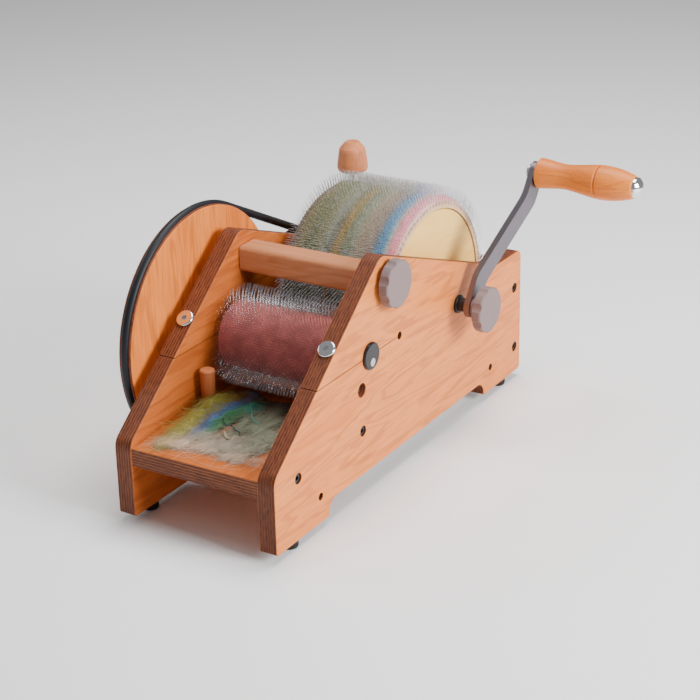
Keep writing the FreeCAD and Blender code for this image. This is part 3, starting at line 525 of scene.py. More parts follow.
def ring_shell(low_x, high_x, axis, inner, outer_at, steps_x, steps_turn):
    """Closed ring round an X axis; outer_at(x share, turn) gives the outer radius."""
    bm = bmesh.new()

    def at(x, radius, turn):
        return bm.verts.new((x, axis.y + radius * math.cos(turn), axis.z + radius * math.sin(turn)))

    rows = []
    for i in range(steps_x + 1):
        share = i / steps_x
        x = low_x + (high_x - low_x) * share
        row = []
        for j in range(steps_turn):
            turn = 2 * math.pi * j / steps_turn
            radius = outer_at(share, turn)
            row.append(at(x, radius, turn))
        rows.append(row)
    ends = [[at(x, inner, 2 * math.pi * j / steps_turn) for j in range(steps_turn)] for x in (low_x, high_x)]
    loops = [ends[0], *rows, ends[1], ends[0]]
    for a, b in zip(loops, loops[1:]):
        for j in range(steps_turn):
            k = (j + 1) % steps_turn
            bm.faces.new((a[j], b[j], b[k], a[k]))
    bmesh.ops.recalc_face_normals(bm, faces=bm.faces)
    smooth(bm)
    return bm


def vertex_layer(mesh, name, values):
    """Store a number or a colour for each vertex."""
    values = np.asarray(values, np.float32)
    if values.ndim == 1:
        layer = mesh.attributes.new(name, "FLOAT", "POINT")
        layer.data.foreach_set("value", values)
    else:
        layer = mesh.attributes.new(name, "FLOAT_COLOR", "POINT")
        full = np.concatenate([values, np.ones((len(values), 1), np.float32)], axis=1)
        layer.data.foreach_set("color", full.ravel())


# --- Recipes --------------------------------------------------------------------------------


def wire_pin(recipe):
    """A thin tapered wire along Z that leans back and then hooks forward along Y."""
    cone = recipe.node("GeometryNodeMeshCone", {"fill_type": "NGON"}, {
        "Vertices": 3, "Side Segments": 2, "Radius Top": recipe["Pin Radius"] * 0.55,
        "Radius Bottom": recipe["Pin Radius"], "Depth": recipe["Pin Length"]})
    share = recipe.split(recipe.position())[2] / recipe["Pin Length"]
    sideways = recipe["Lean"] * share - recipe["Hook"] * share * share
    return recipe.moved(cone, Offset=recipe.vector(0.0, sideways, 0.0))


def pin_cloth_recipe():
    """Rows of hooked pins standing on a cylinder about an X axis, in a staggered pattern."""
    recipe = Recipe("Card cloth pins", {
        "Width": 0.118, "Middle": Vector((0, 0, 0)), "Radius": 0.098, "Rows": 30, "Columns": 300,
        "Pin Length": 0.016, "Pin Radius": 0.0003, "Lean": 0.003, "Hook": 0.004, "Jitter": 0.06, "Seed": 1})
    width, radius, columns = recipe["Width"], recipe["Radius"], recipe["Columns"]
    full_turn = 2 * math.pi - (2 * math.pi) / columns
    grid = recipe.grid(width, full_turn, recipe["Rows"], columns)
    along, angle, _ = recipe.split(recipe.position())
    index = recipe.node("GeometryNodeInputIndex")
    stagger = index.math("MODULO", columns).math("MODULO", 2.0) - 0.5
    shift = stagger * width / recipe["Rows"] * 0.5
    middle = recipe.split(recipe["Middle"])
    loose = recipe.chance(-0.00035, 0.00035, 11)
    where = recipe.vector(
        middle[0] + along + shift + loose,
        middle[1] + angle.math("COSINE") * radius,
        middle[2] + angle.math("SINE") * radius)
    feet = recipe.moved(grid, Position=where)
    _, now_y, now_z = recipe.split(recipe.position())
    direction = (now_z - middle[2]).math("ARCTAN2", now_y - middle[1])
    tilt = recipe.chance(-1.0, 1.0) * recipe["Jitter"]
    sway = recipe.chance(-1.0, 1.0, 5) * recipe["Jitter"]
    turned = recipe.vector(direction - math.pi / 2 + tilt, sway, 0.0)
    size = recipe.vector(1.0, 1.0, recipe.chance(0.93, 1.0, 9))
    return recipe.done(recipe.planted(feet, wire_pin(recipe), turned, size))


def bristle_recipe():
    """A block of bristles on a flat strip, turned about X to point at the drum."""
    recipe = Recipe("Packer bristles", {
        "Width": 0.118, "Depth": 0.01, "Rows": 100, "Columns": 9, "Pin Length": 0.034, "Pin Radius": 0.0002,
        "Lean": 0.0008, "Hook": 0.0004, "Root": 0.006, "Pivot": Vector((0, 0, 0)), "Turn": 1.0, "Seed": 3})
    grid = recipe.grid(recipe["Width"], recipe["Depth"], recipe["Rows"], recipe["Columns"])
    across, back = recipe.chance(-0.0006, 0.0006), recipe.chance(-0.0004, 0.0004, 1)
    feet = recipe.moved(grid, Offset=recipe.vector(across, back, recipe["Root"]))
    splay = recipe.vector(recipe.chance(-0.035, 0.035, 2), recipe.chance(-0.04, 0.04, 3), 0.0)
    size = recipe.vector(1.0, 1.0, recipe.chance(0.95, 1.0, 4))
    hairs = recipe.planted(feet, wire_pin(recipe), splay, size)
    return recipe.done(recipe.node("GeometryNodeTransform", None, {
        "Geometry": hairs, "Translation": recipe["Pivot"],
        "Rotation": recipe.vector(recipe["Turn"], 0.0, 0.0)}))


def strewn_fibres(recipe, face, density, along, rotation, scale):
    """Straight fibres of unit length along a direction, strewn over a face."""
    points = recipe.node("GeometryNodeDistributePointsOnFaces", {"distribute_method": "RANDOM"}, {
        "Mesh": face, "Density": density, "Seed": recipe["Seed"]})
    line = recipe.node("GeometryNodeCurvePrimitiveLine", {"mode": "DIRECTION"}, {
        "Start": along * -0.5, "Direction": along, "Length": 1.0})
    line = recipe.node("GeometryNodeResampleCurve", None, {"Curve": line, "Count": 7})
    laid = recipe.planted(points, line, rotation, scale)
    return recipe.node("GeometryNodeRealizeInstances", None, {0: laid})


def drift(recipe, centre):
    """A slow wandering vector at each point, about zero when centre is the noise's mean."""
    values = {"Vector": recipe.position(), "Scale": recipe["Wave Size"], "Detail": 2.0}
    return recipe.vmath("SUBTRACT", recipe.node("ShaderNodeTexNoise", None, values, 1), centre)


def as_tubes(recipe, curves):
    """End a recipe with fine three-sided tubes along its curves."""
    circle = {"Resolution": 3, "Radius": recipe["Thickness"]}
    section = recipe.node("GeometryNodeCurvePrimitiveCircle", None, circle)
    values = {"Curve": curves, "Profile Curve": section, "Fill Caps": True}
    return recipe.done(recipe.node("GeometryNodeCurveToMesh", None, values))


def strand_recipe():
    """Fine waving fibres scattered over a host surface, lying near it."""
    recipe = Recipe("Loose fibres", {
        "Density": 60000.0, "Length": 0.02, "Thickness": 0.00012, "Wave": 0.004, "Wave Size": 60.0,
        "Lift": 0.001, "Heading": 0.0, "Spread": 0.6, "Seed": 7})
    cover = recipe.node("GeometryNodeInputNamedAttribute", {"data_type": "FLOAT"}, {"Name": "cover"})
    heading = recipe["Heading"] + recipe.chance(-1.0, 1.0, 1) * recipe["Spread"]
    nod = recipe.chance(-0.12, 0.12, 2)
    length = recipe["Length"] * recipe.chance(0.4, 1.0, 3)
    fibres = strewn_fibres(
        recipe, recipe["Geometry"], recipe["Density"] * cover, Vector((1, 0, 0)),
        recipe.vector(0.0, nod, heading), recipe.vector(length, 1.0, 1.0))
    wave = {0: drift(recipe, (0.5, 0.5, 0.42)), "Scale": recipe["Wave"]}
    waved = recipe.node("ShaderNodeVectorMath", {"operation": "SCALE"}, wave)
    lifted = recipe.vmath("ADD", waved, recipe.vector(0.0, 0.0, recipe["Lift"]))
    return as_tubes(recipe, recipe.moved(fibres, Offset=lifted))


def wrapped_fibre_recipe():
    """Fine fibres laid round a drum: scattered on the unrolled face, waved, then rolled up."""
    recipe = Recipe("Fibres round the drum", {
        "Width": 0.116, "Middle": Vector((0, 0, 0)), "Radius": 0.104, "Density": 60000.0, "Length": 0.03,
        "Thickness": 0.0001, "Wave": 0.003, "Wave Size": 90.0, "Spread": 0.25, "Seed": 7})
    radius = recipe["Radius"]
    sheet = recipe.grid(recipe["Width"], 2 * math.pi * radius, 2, 2)
    heading = recipe.chance(-1.0, 1.0, 1) * recipe["Spread"]
    length = recipe["Length"] * recipe.chance(0.3, 1.0, 2)
    fibres = strewn_fibres(
        recipe, sheet, recipe["Density"], Vector((0, 1, 0)),
        recipe.vector(0.0, 0.0, heading), recipe.vector(1.0, length, 1.0))
    drift_x, _, drift_z = recipe.split(drift(recipe, (0.5, 0.5, 0.5)))
    flat_x, flat_y, _ = recipe.split(recipe.position())
    half = recipe["Width"] * 0.5
    x = (flat_x + drift_x * recipe["Wave"]).math("MINIMUM", half).math("MAXIMUM", -half)
    turn = flat_y / radius
    height = radius + drift_z * recipe["Wave"]
    middle = recipe.split(recipe["Middle"])
    rolled = recipe.vector(
        middle[0] + x,
        middle[1] + turn.math("COSINE") * height,
        middle[2] + turn.math("SINE") * height)
    return as_tubes(recipe, recipe.moved(fibres, Position=rolled))


# --- Loose fibre on the tray ----------------------------------------------------------------

# Tufts of loose wool on the tray, in millimetres: across from the middle, back from the
# front edge, half widths across and back, turn in degrees, height, colour, share
TRAY_TUFTS = (
    (-48, 64, 12, 46, 4, 11.0, (0.26, 0.22, 0.018), 1.0),
    (-46, 106, 14, 32, 0, 17.0, (0.21, 0.18, 0.014), 1.1),
    (-36, 132, 16, 20, 0, 6.0, (0.26, 0.14, 0.025), 0.9),
    (-29, 92, 5.5, 40, -3, 9.5, (0.028, 0.085, 0.27), 1.7),
    (-30, 143, 8, 13, 0, 6.5, (0.010, 0.035, 0.11), 1.6),
    (-22, 88, 4.5, 28, -8, 10.0, (0.025, 0.20, 0.045), 1.5),
    (-15, 116, 7, 12, 0, 8.5, (0.012, 0.20, 0.15), 1.2),
    (6, 100, 24, 38, -12, 7.0, (0.19, 0.21, 0.14), 0.8),
    (32, 68, 20, 34, -20, 6.0, (0.22, 0.235, 0.165), 0.75),
    (0, 44, 36, 17, -6, 4.0, (0.36, 0.31, 0.23), 0.75),
    (-32, 24, 30, 11, 8, 3.0, (0.58, 0.40, 0.28), 0.56),
    (34, 26, 24, 10, 2, 1.8, (0.54, 0.38, 0.27), 0.5),
    # This near-black tuft is painted shadow on the wool under the licker-in.
    (16, 138, 34, 13, 0, 4.0, (0.07, 0.065, 0.05), 0.9),
)


# The patch of wool on the tray, the pegs it leaves free, where its loose strands end, and the
# open arc that it keeps under the licker-in, in millimetres from the same middle and edge
PATCH_HALF, PATCH_FRONT, PATCH_BACK = 66.0, 2.0, 154.0
PATCH_STEPS = (126, 150)
PEG_ACROSS, PEG_BACK, PEG_ROOM = 57, 105.5, 8.2
STRANDS_END = 118
ARC_BACK, ARC_HEIGHT, ARC_RADIUS = 162.5, 54.0, 50
NO_CEILING = 30.0
TUFT_SHARPNESS = 1.6


def clamp(value):
    """A value kept between 0 and 1."""
    return min(1.0, max(0.0, value))


def tuft_weight(tuft, across, back):
    """How much one tuft counts at a point of the tray."""
    u, v, half_u, half_v, turn, _, _, share = tuft
    angle = math.radians(turn)
    du, dv = across - u, back - v
    along = dv * math.cos(angle) - du * math.sin(angle)
    side = du * math.cos(angle) + dv * math.sin(angle)
    return share * math.exp(-((side / half_u) ** 2 + (along / half_v) ** 2))


def wool_at(across, back):
    """Height in millimetres, cover from 0 to 1, and colour of the loose wool at a point."""
    total, height, strength, color = 0.0, 0.0, 0.0, np.zeros(3)
    for tuft in TRAY_TUFTS:
        weight = tuft_weight(tuft, across, back)
        total += weight
        height += weight / tuft[7] * tuft[5] * 0.62
        strength += weight ** TUFT_SHARPNESS
        color += np.array(tuft[6]) * weight ** TUFT_SHARPNESS
    wild = noise.noise(Vector((across * 0.09, back * 0.05, 2.0)))
    cover = min(1.0, total * 1.15 * (1 + 0.6 * wild))
    edge = clamp((PATCH_HALF - abs(across)) / 10) * clamp((PATCH_BACK - back) / 12)
    lumps = 1 + 0.45 * noise.noise(Vector((across * 0.11, back * 0.09, 0.0))) + 0.2 * wild
    reach = ARC_BACK - back
    ceiling = NO_CEILING
    if abs(reach) < ARC_RADIUS:
        ceiling = ARC_HEIGHT - math.sqrt(ARC_RADIUS ** 2 - reach * reach)
    return min(height * lumps * edge, max(0.5, ceiling)), cover * edge, color / max(strength, 1e-6)


TRAY_LOW, TRAY_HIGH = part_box("feed_tray")


def tray_place(across, back, height):
    """A point over the tray, from millimetres across, back and up."""
    middle = (TRAY_LOW.x + TRAY_HIGH.x) / 2
    return Vector((middle + across * MM, TRAY_LOW.y + back * MM, TRAY_HIGH.z + height * MM))


def tray_wool_mesh():
    """Closed, lumpy patch of wool with its cover and tint stored on the vertices."""
    bm = bmesh.new()
    steps_u, steps_v = PATCH_STEPS
    grid, facts = {}, {}
    for i in range(steps_u + 1):
        for j in range(steps_v + 1):
            u = -PATCH_HALF + 2 * PATCH_HALF * i / steps_u
            v = PATCH_FRONT + (PATCH_BACK - PATCH_FRONT) * j / steps_v
            height, cover, color = wool_at(u, v)
            near_peg = math.hypot(abs(u) - PEG_ACROSS, v - PEG_BACK) < PEG_ROOM
            if cover < 0.05 or near_peg:
                continue
            fine = 0.35 * noise.noise(Vector((u * 0.5, v * 0.25, 4.0)))
            grid[i, j] = bm.verts.new(tray_place(u, v, max(0.35, height + fine)))
            facts[grid[i, j]] = (cover, color)
    for i in range(steps_u):
        for j in range(steps_v):
            corners = [grid.get(key) for key in ((i, j), (i + 1, j), (i + 1, j + 1), (i, j + 1))]
            if all(corners):
                bm.faces.new(corners)
    bmesh.ops.delete(bm, geom=[v for v in bm.verts if not v.link_faces], context="VERTS")
    bm.verts.index_update()
    cover = [facts[v][0] for v in bm.verts]
    tint = [facts[v][1] for v in bm.verts]
    top = bpy.data.meshes.new("wool_top")
    bm.to_mesh(top)
    clear = TRAY_LOW.y + STRANDS_END * MM
    vertex_layer(top, "cover", [c * clamp((clear - v.co.y) / 0.02) for c, v in zip(cover, bm.verts)])
    vertex_layer(top, "tint", tint)
    return bm, top, cover, tint


def tube(bm, points, radius_at, sides=8):
    """Closed tube through points, smoothed; radius_at(share) gives its radius."""
    path = []
    for i in range(len(points) - 1):
        p0, p1 = points[max(i - 1, 0)], points[i]
        p2, p3 = points[i + 1], points[min(i + 2, len(points) - 1)]
        for k in range(8):
            t = k / 8
            square, cube = 2 * p0 - 5 * p1 + 4 * p2 - p3, 3 * p1 - p0 - 3 * p2 + p3
            path.append(0.5 * ((2 * p1) + (p2 - p0) * t + square * t ** 2 + cube * t ** 3))
    path.append(points[-1])
    rings = []
    for i, point in enumerate(path):
        ahead = path[min(i + 1, len(path) - 1)] - path[max(i - 1, 0)]
        turn = ahead.to_track_quat("Z", "X")
        radius = radius_at(i / (len(path) - 1))
        rings.append([
            bm.verts.new(point + turn @ Vector((radius * math.cos(a), radius * math.sin(a), 0)))
            for a in (2 * math.pi * k / sides for k in range(sides))
        ])
    for a, b in zip(rings, rings[1:]):
        for k in range(sides):
            n = (k + 1) % sides
            bm.faces.new((a[k], a[n], b[n], b[k]))
    bm.faces.new(list(reversed(rings[0])))
    bm.faces.new(rings[-1])


# --- Add-on: settings -----------------------------------------------------------------------


class CarderSettings(bpy.types.PropertyGroup):
    """Sizes and colours that a user of the drum carder would change."""

    pin_thickness: FloatProperty(
        name="Pin thickness", description="Thickness of the wire of the card cloth pins",
        default=0.00045, unit="LENGTH")
    main_pin_columns: IntProperty(
        name="Pins round the drum", description="Number of pins in one ring round the main drum",
        default=288, min=24)
    main_pin_rows: IntProperty(
        name="Pin rings on the drum", description="Number of pin rings side by side on the main drum",
        default=33, min=2)
    licker_pin_columns: IntProperty(
        name="Pins round the licker-in", description="Number of pins in one ring round the small drum",
        default=96, min=12)
    licker_pin_rows: IntProperty(
        name="Pin rings on the licker-in", description="Number of pin rings on the small drum",
        default=35, min=2)
    fibre_density: FloatProperty(
        name="Loose fibres", description="Loose fibres on each square metre of wool",
        default=90000.0, min=0.0)
    knob_color: FloatVectorProperty(
        name="Knob", description="Colour of the two scalloped knobs", subtype="COLOR",
        default=(0.20, 0.145, 0.143))
    cloth_color: FloatVectorProperty(
        name="Card cloth", description="Colour of the card cloth's rubber face", subtype="COLOR",
        default=(0.46, 0.115, 0.105))
    floor_color: FloatVectorProperty(
        name="Floor", description="Colour of the studio floor", subtype="COLOR",
        default=(0.92, 0.92, 0.92))


# Finish, axis across the plies, half thickness, grain axis, ply pitch, wood and seed of each board
BOARDS = {
    "side_panel_right": ("side_panel_right_veneer", 0, 0.009, 1, 0.0028, CHERRY, 0.3),
    "side_panel_left": ("side_panel_left_veneer", 0, 0.009, 1, 0.0028, CHERRY_SHADED, 1.9),
    "feed_tray": ("tray_veneer", 2, 0.009, 1, 0.0028, CHERRY_SHADED, 2.4),
    "rear_board": ("rear_veneer", 1, 0.009, 0, 0.0028, CHERRY, 4.2),
    "drive_wheel": ("drive_wheel_veneer", 0, 0.007, 2, 0.0026, CHERRY_FLAMED, 5.3),
    "drum_pulley": ("drum_pulley_veneer", 0, 0.007, 2, 0.0026, CHERRY_FLAMED, 6.1),
}


class CARDER_OT_boards(bpy.types.Operator):
    """Veneer the plywood sides, tray, rear board, wheel and pulley"""

    bl_idname = "carder.boards"
    bl_label = "Plywood Boards"

    def execute(self, context):
        for node, (name, layers, *board) in BOARDS.items():
            # The pulley's plies are counted from the middle of the wheel
            middle = box_middle("drive_wheel" if node == "drum_pulley" else node)[layers]
            paint(plywood(name, layers, middle, *board), node)
        return {"FINISHED"}


# Name, grain axis, light, dark and figure colours, seed and roughness of each solid wood
SOLID_WOODS = {
    "brush_bar": ("bar_cherry", 0, (0.55, 0.225, 0.10), (0.40, 0.135, 0.05), (0.46, 0.15, 0.05), 7.7),
    "guide_pegs": ("peg_cherry", 2, (0.50, 0.16, 0.055), (0.38, 0.10, 0.03), (0.44, 0.115, 0.03), 8.8),
    "doffer_handle": ("doffer_cherry", 2, (0.60, 0.22, 0.09), (0.46, 0.13, 0.045), (0.52, 0.15, 0.05), 9.4),
    "crank_handle": (
        "grip_lacquer", 0, (0.74, 0.22, 0.033), (0.54, 0.125, 0.015), (0.64, 0.15, 0.018), 11.0, 0.36),
    "licker_core": ("licker_core_wood", 1, (0.74, 0.52, 0.31), (0.62, 0.38, 0.19), (0.66, 0.42, 0.2), 12.5),
    "drum_shell": ("drum_shell_wood", 1, (0.74, 0.52, 0.31), (0.62, 0.38, 0.19), (0.66, 0.42, 0.2), 12.5),
}


class CARDER_OT_turned_wood(bpy.types.Operator):
    """Finish the cross bar, pegs, doffer handle, drum cores, end discs and crank grip"""

    bl_idname = "carder.turned_wood"
    bl_label = "Turned and Planed Wood"

    def execute(self, context):
        for node, wood in SOLID_WOODS.items():
            paint(solid_wood(*wood), node)
        for side in ("right", "left"):
            paint(end_disc_wood(f"end_disc_{side}"), f"drum_end_disc_{side}")
        return {"FINISHED"}


class CARDER_OT_hardware(bpy.types.Operator):
    """Finish the metal, rubber and plastic pieces"""

    bl_idname = "carder.hardware"
    bl_label = "Hardware"

    def execute(self, context):
        paint(metal("bright_zinc", (0.62, 0.62, 0.64), 0.30, brushed=0), "licker_axle", "main_axle",
              "wheel_washer", "pulley_washer", "brush_stud", "handle_spindle", "barrel_nuts")
        paint(metal("doffer_steel", (0.62, 0.62, 0.64), 0.28, brushed=2), "doffer_rod")
        paint(metal("satin_arm", (0.20, 0.18, 0.205), 0.42, brushed=0), "crank_arm")
        paint(metal("bright_chrome", (0.82, 0.82, 0.84), 0.13), "clamp_bolt_right", "clamp_bolt_left",
              "handle_end_cap")
        paint(metal("blackened_steel", (0.075, 0.07, 0.07), 0.42), "frame_screws", "foot_screws",
              "wheel_hub_screws", "brush_pivot_screw", "pulley_nut", "wheel_nut")
        for node in ("wheel_hub", "drum_collars"):
            paint(metal(f"{node}_aluminium", (0.70, 0.70, 0.71), 0.36, brushed=0), node)
        paint(moulded("glossy_black", (0.012, 0.012, 0.014), 0.16, 900.0, 0.00002),
              "eccentric_bush_right", "eccentric_bush_left")
        paint(moulded("black_nylon", (0.016, 0.016, 0.017), 0.4), "main_bush_right", "main_bush_left",
              "licker_spacers", "axle_spacer_right", "axle_spacer_left", "brush_washers", "handle_washer")
        knob_color = tuple(context.scene.drum_carder.knob_color)
        paint(moulded("grey_knob", knob_color, 0.5, 2200.0, 0.00005, 0.05), "crank_knob", "brush_knob")
        paint(moulded("foot_rubber", (0.014, 0.014, 0.014), 0.75, 900.0, 0.0001), "rubber_feet")
        paint(moulded("belt_rubber", (0.007, 0.0075, 0.011), 0.5, 1400.0, 0.00005), "drive_belt")
        return {"FINISHED"}


def pin_field(name, body, cloth, pins, material, wire, **values):
    """Grow one drum's pins, of a wire's thickness, from its card cloth to the model's tips."""
    low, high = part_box(pins)
    cloth_low, cloth_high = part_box(cloth)
    root = (cloth_high.z - cloth_low.z) / 2
    reach = (high.z - low.z) / 2 - root
    field = grow(
        name, PIN_CLOTH, material, Width=(high.x - low.x) * 0.965, Middle=(low + high) / 2,
        Radius=root - 0.0006, Pin_Length=reach + 0.0002, Pin_Radius=wire / 2, **values)
    settle(field, body, "pin_field", pins)


class CARDER_OT_card_cloth(bpy.types.Operator):
    """Cover both drums in card cloth and grow its wire pins"""

    bl_idname = "carder.card_cloth"
    bl_label = "Card Cloth and Pins"

    def execute(self, context):
        settings = context.scene.drum_carder
        cloth = tuple(settings.cloth_color)
        paint(card_cloth("licker_cloth", cloth, AXES["licker_in_spin"]), "licker_card_cloth")
        paint(card_cloth("main_cloth", (0.66, 0.40, 0.30), AXES["main_drum_spin"]), "main_card_cloth")
        steel = metal("pin_steel", (0.90, 0.89, 0.93), 0.28, metallic=0.65)
        dull = metal("licker_pin_steel", (0.66, 0.64, 0.66), 0.24)
        wire = settings.pin_thickness
        pin_field(
            "main_drum_pins", "main_drum", "main_card_cloth", "main_card_pins", steel, wire,
            Rows=settings.main_pin_rows, Columns=settings.main_pin_columns,
            Lean=0.0035, Hook=0.0065, Seed=21)
        pin_field(
            "licker_pins", "licker_in", "licker_card_cloth", "licker_card_pins", dull, wire * 0.72,
            Rows=settings.licker_pin_rows, Columns=settings.licker_pin_columns,
            Lean=-0.0012, Hook=-0.0038, Seed=31)
        return {"FINISHED"}


class CARDER_OT_drum_fibre(bpy.types.Operator):
    """Wind the combed fibre round the main drum in bands of colour"""

    bl_idname = "carder.drum_fibre"
    bl_label = "Fibre on the Drum"

    def execute(self, context):
        low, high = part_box("main_card_pins")
        axis = AXES["main_drum_spin"]
        cloth_low, cloth_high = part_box("main_card_cloth")
        root = (cloth_high.z - cloth_low.z) / 2
        wool = carded_wool("banded_wool", low.x, high.x, axis)

        def outer(share, turn):
            at = Vector((share * 9.0, math.cos(turn) * 3.0, math.sin(turn) * 3.0))
            lumps = noise.noise(at) * 0.8 + noise.noise(at * 4.0) * 0.35
            edge = min(1.0, min(share, 1 - share) * 16)
            return root + (0.7 + edge * (5.2 + lumps)) * MM

        sleeve = ring_shell(low.x + 0.0008, high.x - 0.0008, axis, root + 0.0001, outer, 90, 220)
        new_piece("drum_wool", sleeve, wool, "main_drum", "carded_fibre", "fibre_batt")
        stray = carded_wool("banded_strands", low.x, high.x, axis, 0.09)
        strands = grow(
            "drum_wool_strands", WRAPPED_FIBRE, stray, Width=(high.x - low.x) * 0.985,
            Middle=(low + high) / 2, Radius=root + 0.0062, Density=16000.0, Length=0.022,
            Thickness=0.00008, Wave=0.003, Seed=5)
        settle(strands, "main_drum", "carded_fibre")
        return {"FINISHED"}


class CARDER_OT_packer_brush(bpy.types.Operator):
    """Grow the packer brush's bristles"""

    bl_idname = "carder.packer_brush"
    bl_label = "Packer Brush"

    def execute(self, context):
        low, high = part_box("brush_bristles")
        pivot = AXES["brush_tilt"].copy()
        pivot.x = (low.x + high.x) / 2
        to_drum = AXES["main_drum_spin"] - AXES["brush_tilt"]
        turn = -math.atan2(to_drum.y, to_drum.z)
        drum_low, drum_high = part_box("main_card_pins")
        tip = math.hypot(to_drum.y, to_drum.z) - (drum_high.z - drum_low.z) / 2 - 0.0007
        root = 0.0062
        nylon = moulded("bristle_nylon", (0.045, 0.038, 0.032), 0.45, 900.0, 0.00002)
        bristles = grow(
            "packer_bristles", BRISTLES, nylon, Width=(high.x - low.x) * 0.98, Depth=0.0095, Root=root,
            Pin_Length=tip - root, Pivot=pivot, Turn=turn)
        settle(bristles, "brush", "bristle", "brush_bristles")
        return {"FINISHED"}


# Threads that lie on the wool: name, colour, places across and back, thickness and lift, all in
# millimetres on the tray
THREADS = (
    ("navy_thread", (0.012, 0.022, 0.06),
     ((-22, 78), (-16, 74), (-9, 74), (-2, 69), (4, 67), (9, 60)), 0.75, 2.0),
    ("teal_thread", (0.06, 0.42, 0.34), ((-18, 117), (-10, 108), (-4, 99), (4, 92), (13, 87)), 0.6, 1.4),
    ("pale_nep", (0.40, 0.33, 0.22), ((-12, 64), (-7, 60), (-3, 55), (4, 51)), 1.5, 0.8),
    ("front_wisp_left", (0.62, 0.44, 0.32), ((-60, 14), (-48, 6), (-28, 5), (-9, 10), (-1, 28)), 0.14, 0.6),
    ("front_wisp_right", (0.62, 0.46, 0.34), ((-30, 18), (-8, 8), (10, 4), (30, 6), (44, 12)), 0.14, 0.6),
)


class CARDER_OT_tray_fibre(bpy.types.Operator):
    """Lay loose coloured wool on the feed tray"""

    bl_idname = "carder.tray_fibre"
    bl_label = "Fibre on the Tray"

    def execute(self, context):
        density = context.scene.drum_carder.fibre_density
        bm, top, cover, tint = tray_wool_mesh()
        top_object = bpy.data.objects.new("wool_top", top)
        material = strand_wool("loose_strands")
        for name, values in (
            ("tray_strands", dict(
                Density=density, Length=0.030, Wave=0.007, Heading=1.25, Spread=0.55, Lift=0.0008, Seed=7)),
            ("tray_wisps", dict(
                Density=density * 0.35, Length=0.046, Wave=0.012, Heading=0.35, Spread=0.7, Lift=0.0016,
                Seed=19)),
        ):
            strands = grow(name, STRANDS, material, host=top_object, Thickness=0.00009, **values)
            settle(strands, "frame", "loose_fibre")
        bpy.data.objects.remove(top_object)
        self.wool(bm, cover, tint)
        self.threads()
        return {"FINISHED"}

    @staticmethod
    def wool(bm, cover, tint):
        """Close the patch of wool with a flat underside and store its cover and tint."""
        facts = {(round(v.co.x, 6), round(v.co.y, 6)): (c, t) for v, c, t in zip(bm.verts, cover, tint)}
        floor_z = tray_place(0, 0, 0.12).z
        lower = bmesh.ops.extrude_face_region(bm, geom=list(bm.faces))["geom"]
        for item in lower:
            if isinstance(item, bmesh.types.BMVert):
                item.co.z = floor_z
        bmesh.ops.recalc_face_normals(bm, faces=bm.faces)
        smooth(bm)
        matched = [facts[round(v.co.x, 6), round(v.co.y, 6)] for v in bm.verts]
        piece = new_piece("tray_wool", bm, loose_wool("loose_wool"), "frame", "loose_fibre", "fibre_on_tray")
        vertex_layer(piece.data, "cover", [c for c, _ in matched])
        vertex_layer(piece.data, "tint", [t for _, t in matched])

    @staticmethod
    def threads():
        """A few thicker threads and a nep that lie on the wool."""
        for name, color, points, radius, lift in THREADS:
            def thickness(share):
                swell = 0.35 + 0.65 * math.sin(math.pi * share) ** 0.5
                return radius * MM * swell * (1 + 0.3 * math.sin(share * 40))

            bm = bmesh.new()
            tube(bm, [tray_place(u, v, wool_at(u, v)[0] + lift) for u, v in points], thickness)
            smooth(bm)
            wool = moulded(f"{name}_wool", color, 0.7, 1500.0, 0.0004, 0.2)
            new_piece(name, bm, wool, "frame", "loose_fibre")


# Place, size and power of each soft light, and the point that they all face
LIGHTS = {
    "key_softbox": ((1.75, -0.08, 0.85), 0.8, 62.0),
    "top_softbox": ((0.0, 0.35, 1.7), 1.0, 34.0),
    "left_rim": ((-1.5, -0.3, 1.1), 0.6, 6.0),
}
LIT_POINT = Vector((0, 0, 0.12))
SKY_STRENGTH = 0.32
CAMERA_PLACE = (0.840167, -1.421491, 0.812822)
CAMERA_ANGLES = {"azimuth": 31.762, "elevation": 23.005, "roll": -1.361}
CAMERA_LENS, SENSOR_WIDTH = 96.36, 36.0


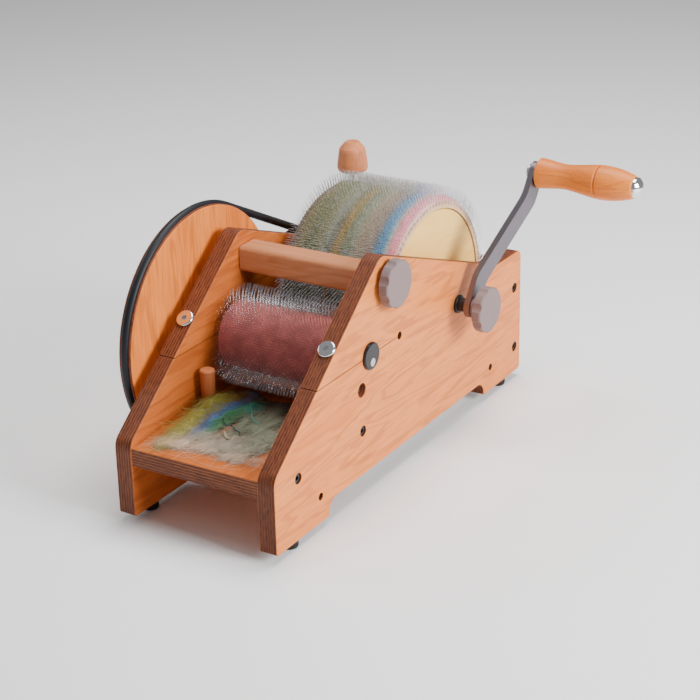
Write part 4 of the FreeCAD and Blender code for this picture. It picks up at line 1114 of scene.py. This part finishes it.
class CARDER_OT_studio(bpy.types.Operator):
    """Set the floor, the lights and the camera"""

    bl_idname = "carder.studio"
    bl_label = "Studio"

    def execute(self, context):
        scene = context.scene
        self.floor(scene)
        world = bpy.data.worlds.new("studio_world")
        world.use_nodes = True
        background = world.node_tree.nodes["Background"]
        background.inputs["Color"].default_value = (1.0, 1.0, 1.0, 1.0)
        background.inputs["Strength"].default_value = SKY_STRENGTH
        scene.world = world
        for name, (place, size, power) in LIGHTS.items():
            self.light(scene, name, place, size, power)
        self.camera(scene)
        return {"FINISHED"}

    @staticmethod
    def floor(scene):
        bm = bmesh.new()
        bmesh.ops.create_grid(bm, x_segments=2, y_segments=2, size=6.0)
        mesh = bpy.data.meshes.new("studio_floor")
        bm.to_mesh(mesh)
        bm.free()
        floor = bpy.data.objects.new("studio_floor", mesh)
        scene.collection.objects.link(floor)
        paper = Finish("studio_paper")
        clouds = paper.noise(paper.place, 3.0, 2.0)
        white = tuple(scene.drum_carder.floor_color)
        shade = paper.mix(clouds * 0.1, white, shaded(white, 0.97))
        floor.data.materials.append(paper.done(shade, 0.9))

    @staticmethod
    def light(scene, name, place, size, power):
        data = bpy.data.lights.new(name, "AREA")
        data.size = size
        data.energy = power
        lamp = bpy.data.objects.new(name, data)
        lamp.location = place
        lamp.rotation_mode = "QUATERNION"
        lamp.rotation_quaternion = (LIT_POINT - lamp.location).to_track_quat("-Z", "Y")
        scene.collection.objects.link(lamp)

    @staticmethod
    def camera(scene):
        data = bpy.data.cameras.new("studio_camera")
        data.lens, data.sensor_width = CAMERA_LENS, SENSOR_WIDTH
        camera = bpy.data.objects.new("studio_camera", data)
        azimuth, elevation, roll = map(math.radians, CAMERA_ANGLES.values())
        level = math.cos(elevation)
        back = Vector((math.sin(azimuth) * level, -math.cos(azimuth) * level, math.sin(elevation)))
        camera.location = CAMERA_PLACE
        camera.rotation_mode = "QUATERNION"
        camera.rotation_quaternion = (-back).to_track_quat("-Z", "Y") @ Quaternion((0, 0, 1), roll)
        scene.collection.objects.link(camera)
        scene.camera = camera


class CARDER_PT_sidebar(bpy.types.Panel):
    """Lists the drum carder's settings and pieces."""

    bl_idname = "CARDER_PT_sidebar"
    bl_label = "Drum Carder"
    bl_space_type = "VIEW_3D"
    bl_region_type = "UI"
    bl_category = "Drum Carder"

    def draw(self, context):
        settings = context.scene.drum_carder
        for label in CarderSettings.__annotations__:
            self.layout.prop(settings, label)
        for operator in OPERATORS:
            self.layout.operator(operator.bl_idname)


OPERATORS = (
    CARDER_OT_boards,
    CARDER_OT_turned_wood,
    CARDER_OT_hardware,
    CARDER_OT_card_cloth,
    CARDER_OT_drum_fibre,
    CARDER_OT_packer_brush,
    CARDER_OT_tray_fibre,
    CARDER_OT_studio,
)
CLASSES = (CarderSettings, *OPERATORS, CARDER_PT_sidebar)
PIN_CLOTH = pin_cloth_recipe()
BRISTLES = bristle_recipe()
STRANDS = strand_recipe()
WRAPPED_FIBRE = wrapped_fibre_recipe()


def register():
    for cls in CLASSES:
        bpy.utils.register_class(cls)
    bpy.types.Scene.drum_carder = PointerProperty(type=CarderSettings)


def unregister():
    del bpy.types.Scene.drum_carder
    for cls in reversed(CLASSES):
        bpy.utils.unregister_class(cls)


def main():
    """Build every piece in order."""
    register()
    for operator in OPERATORS:
        group, name = operator.bl_idname.split(".")
        getattr(getattr(bpy.ops, group), name)()


if __name__ == "__main__":
    main()
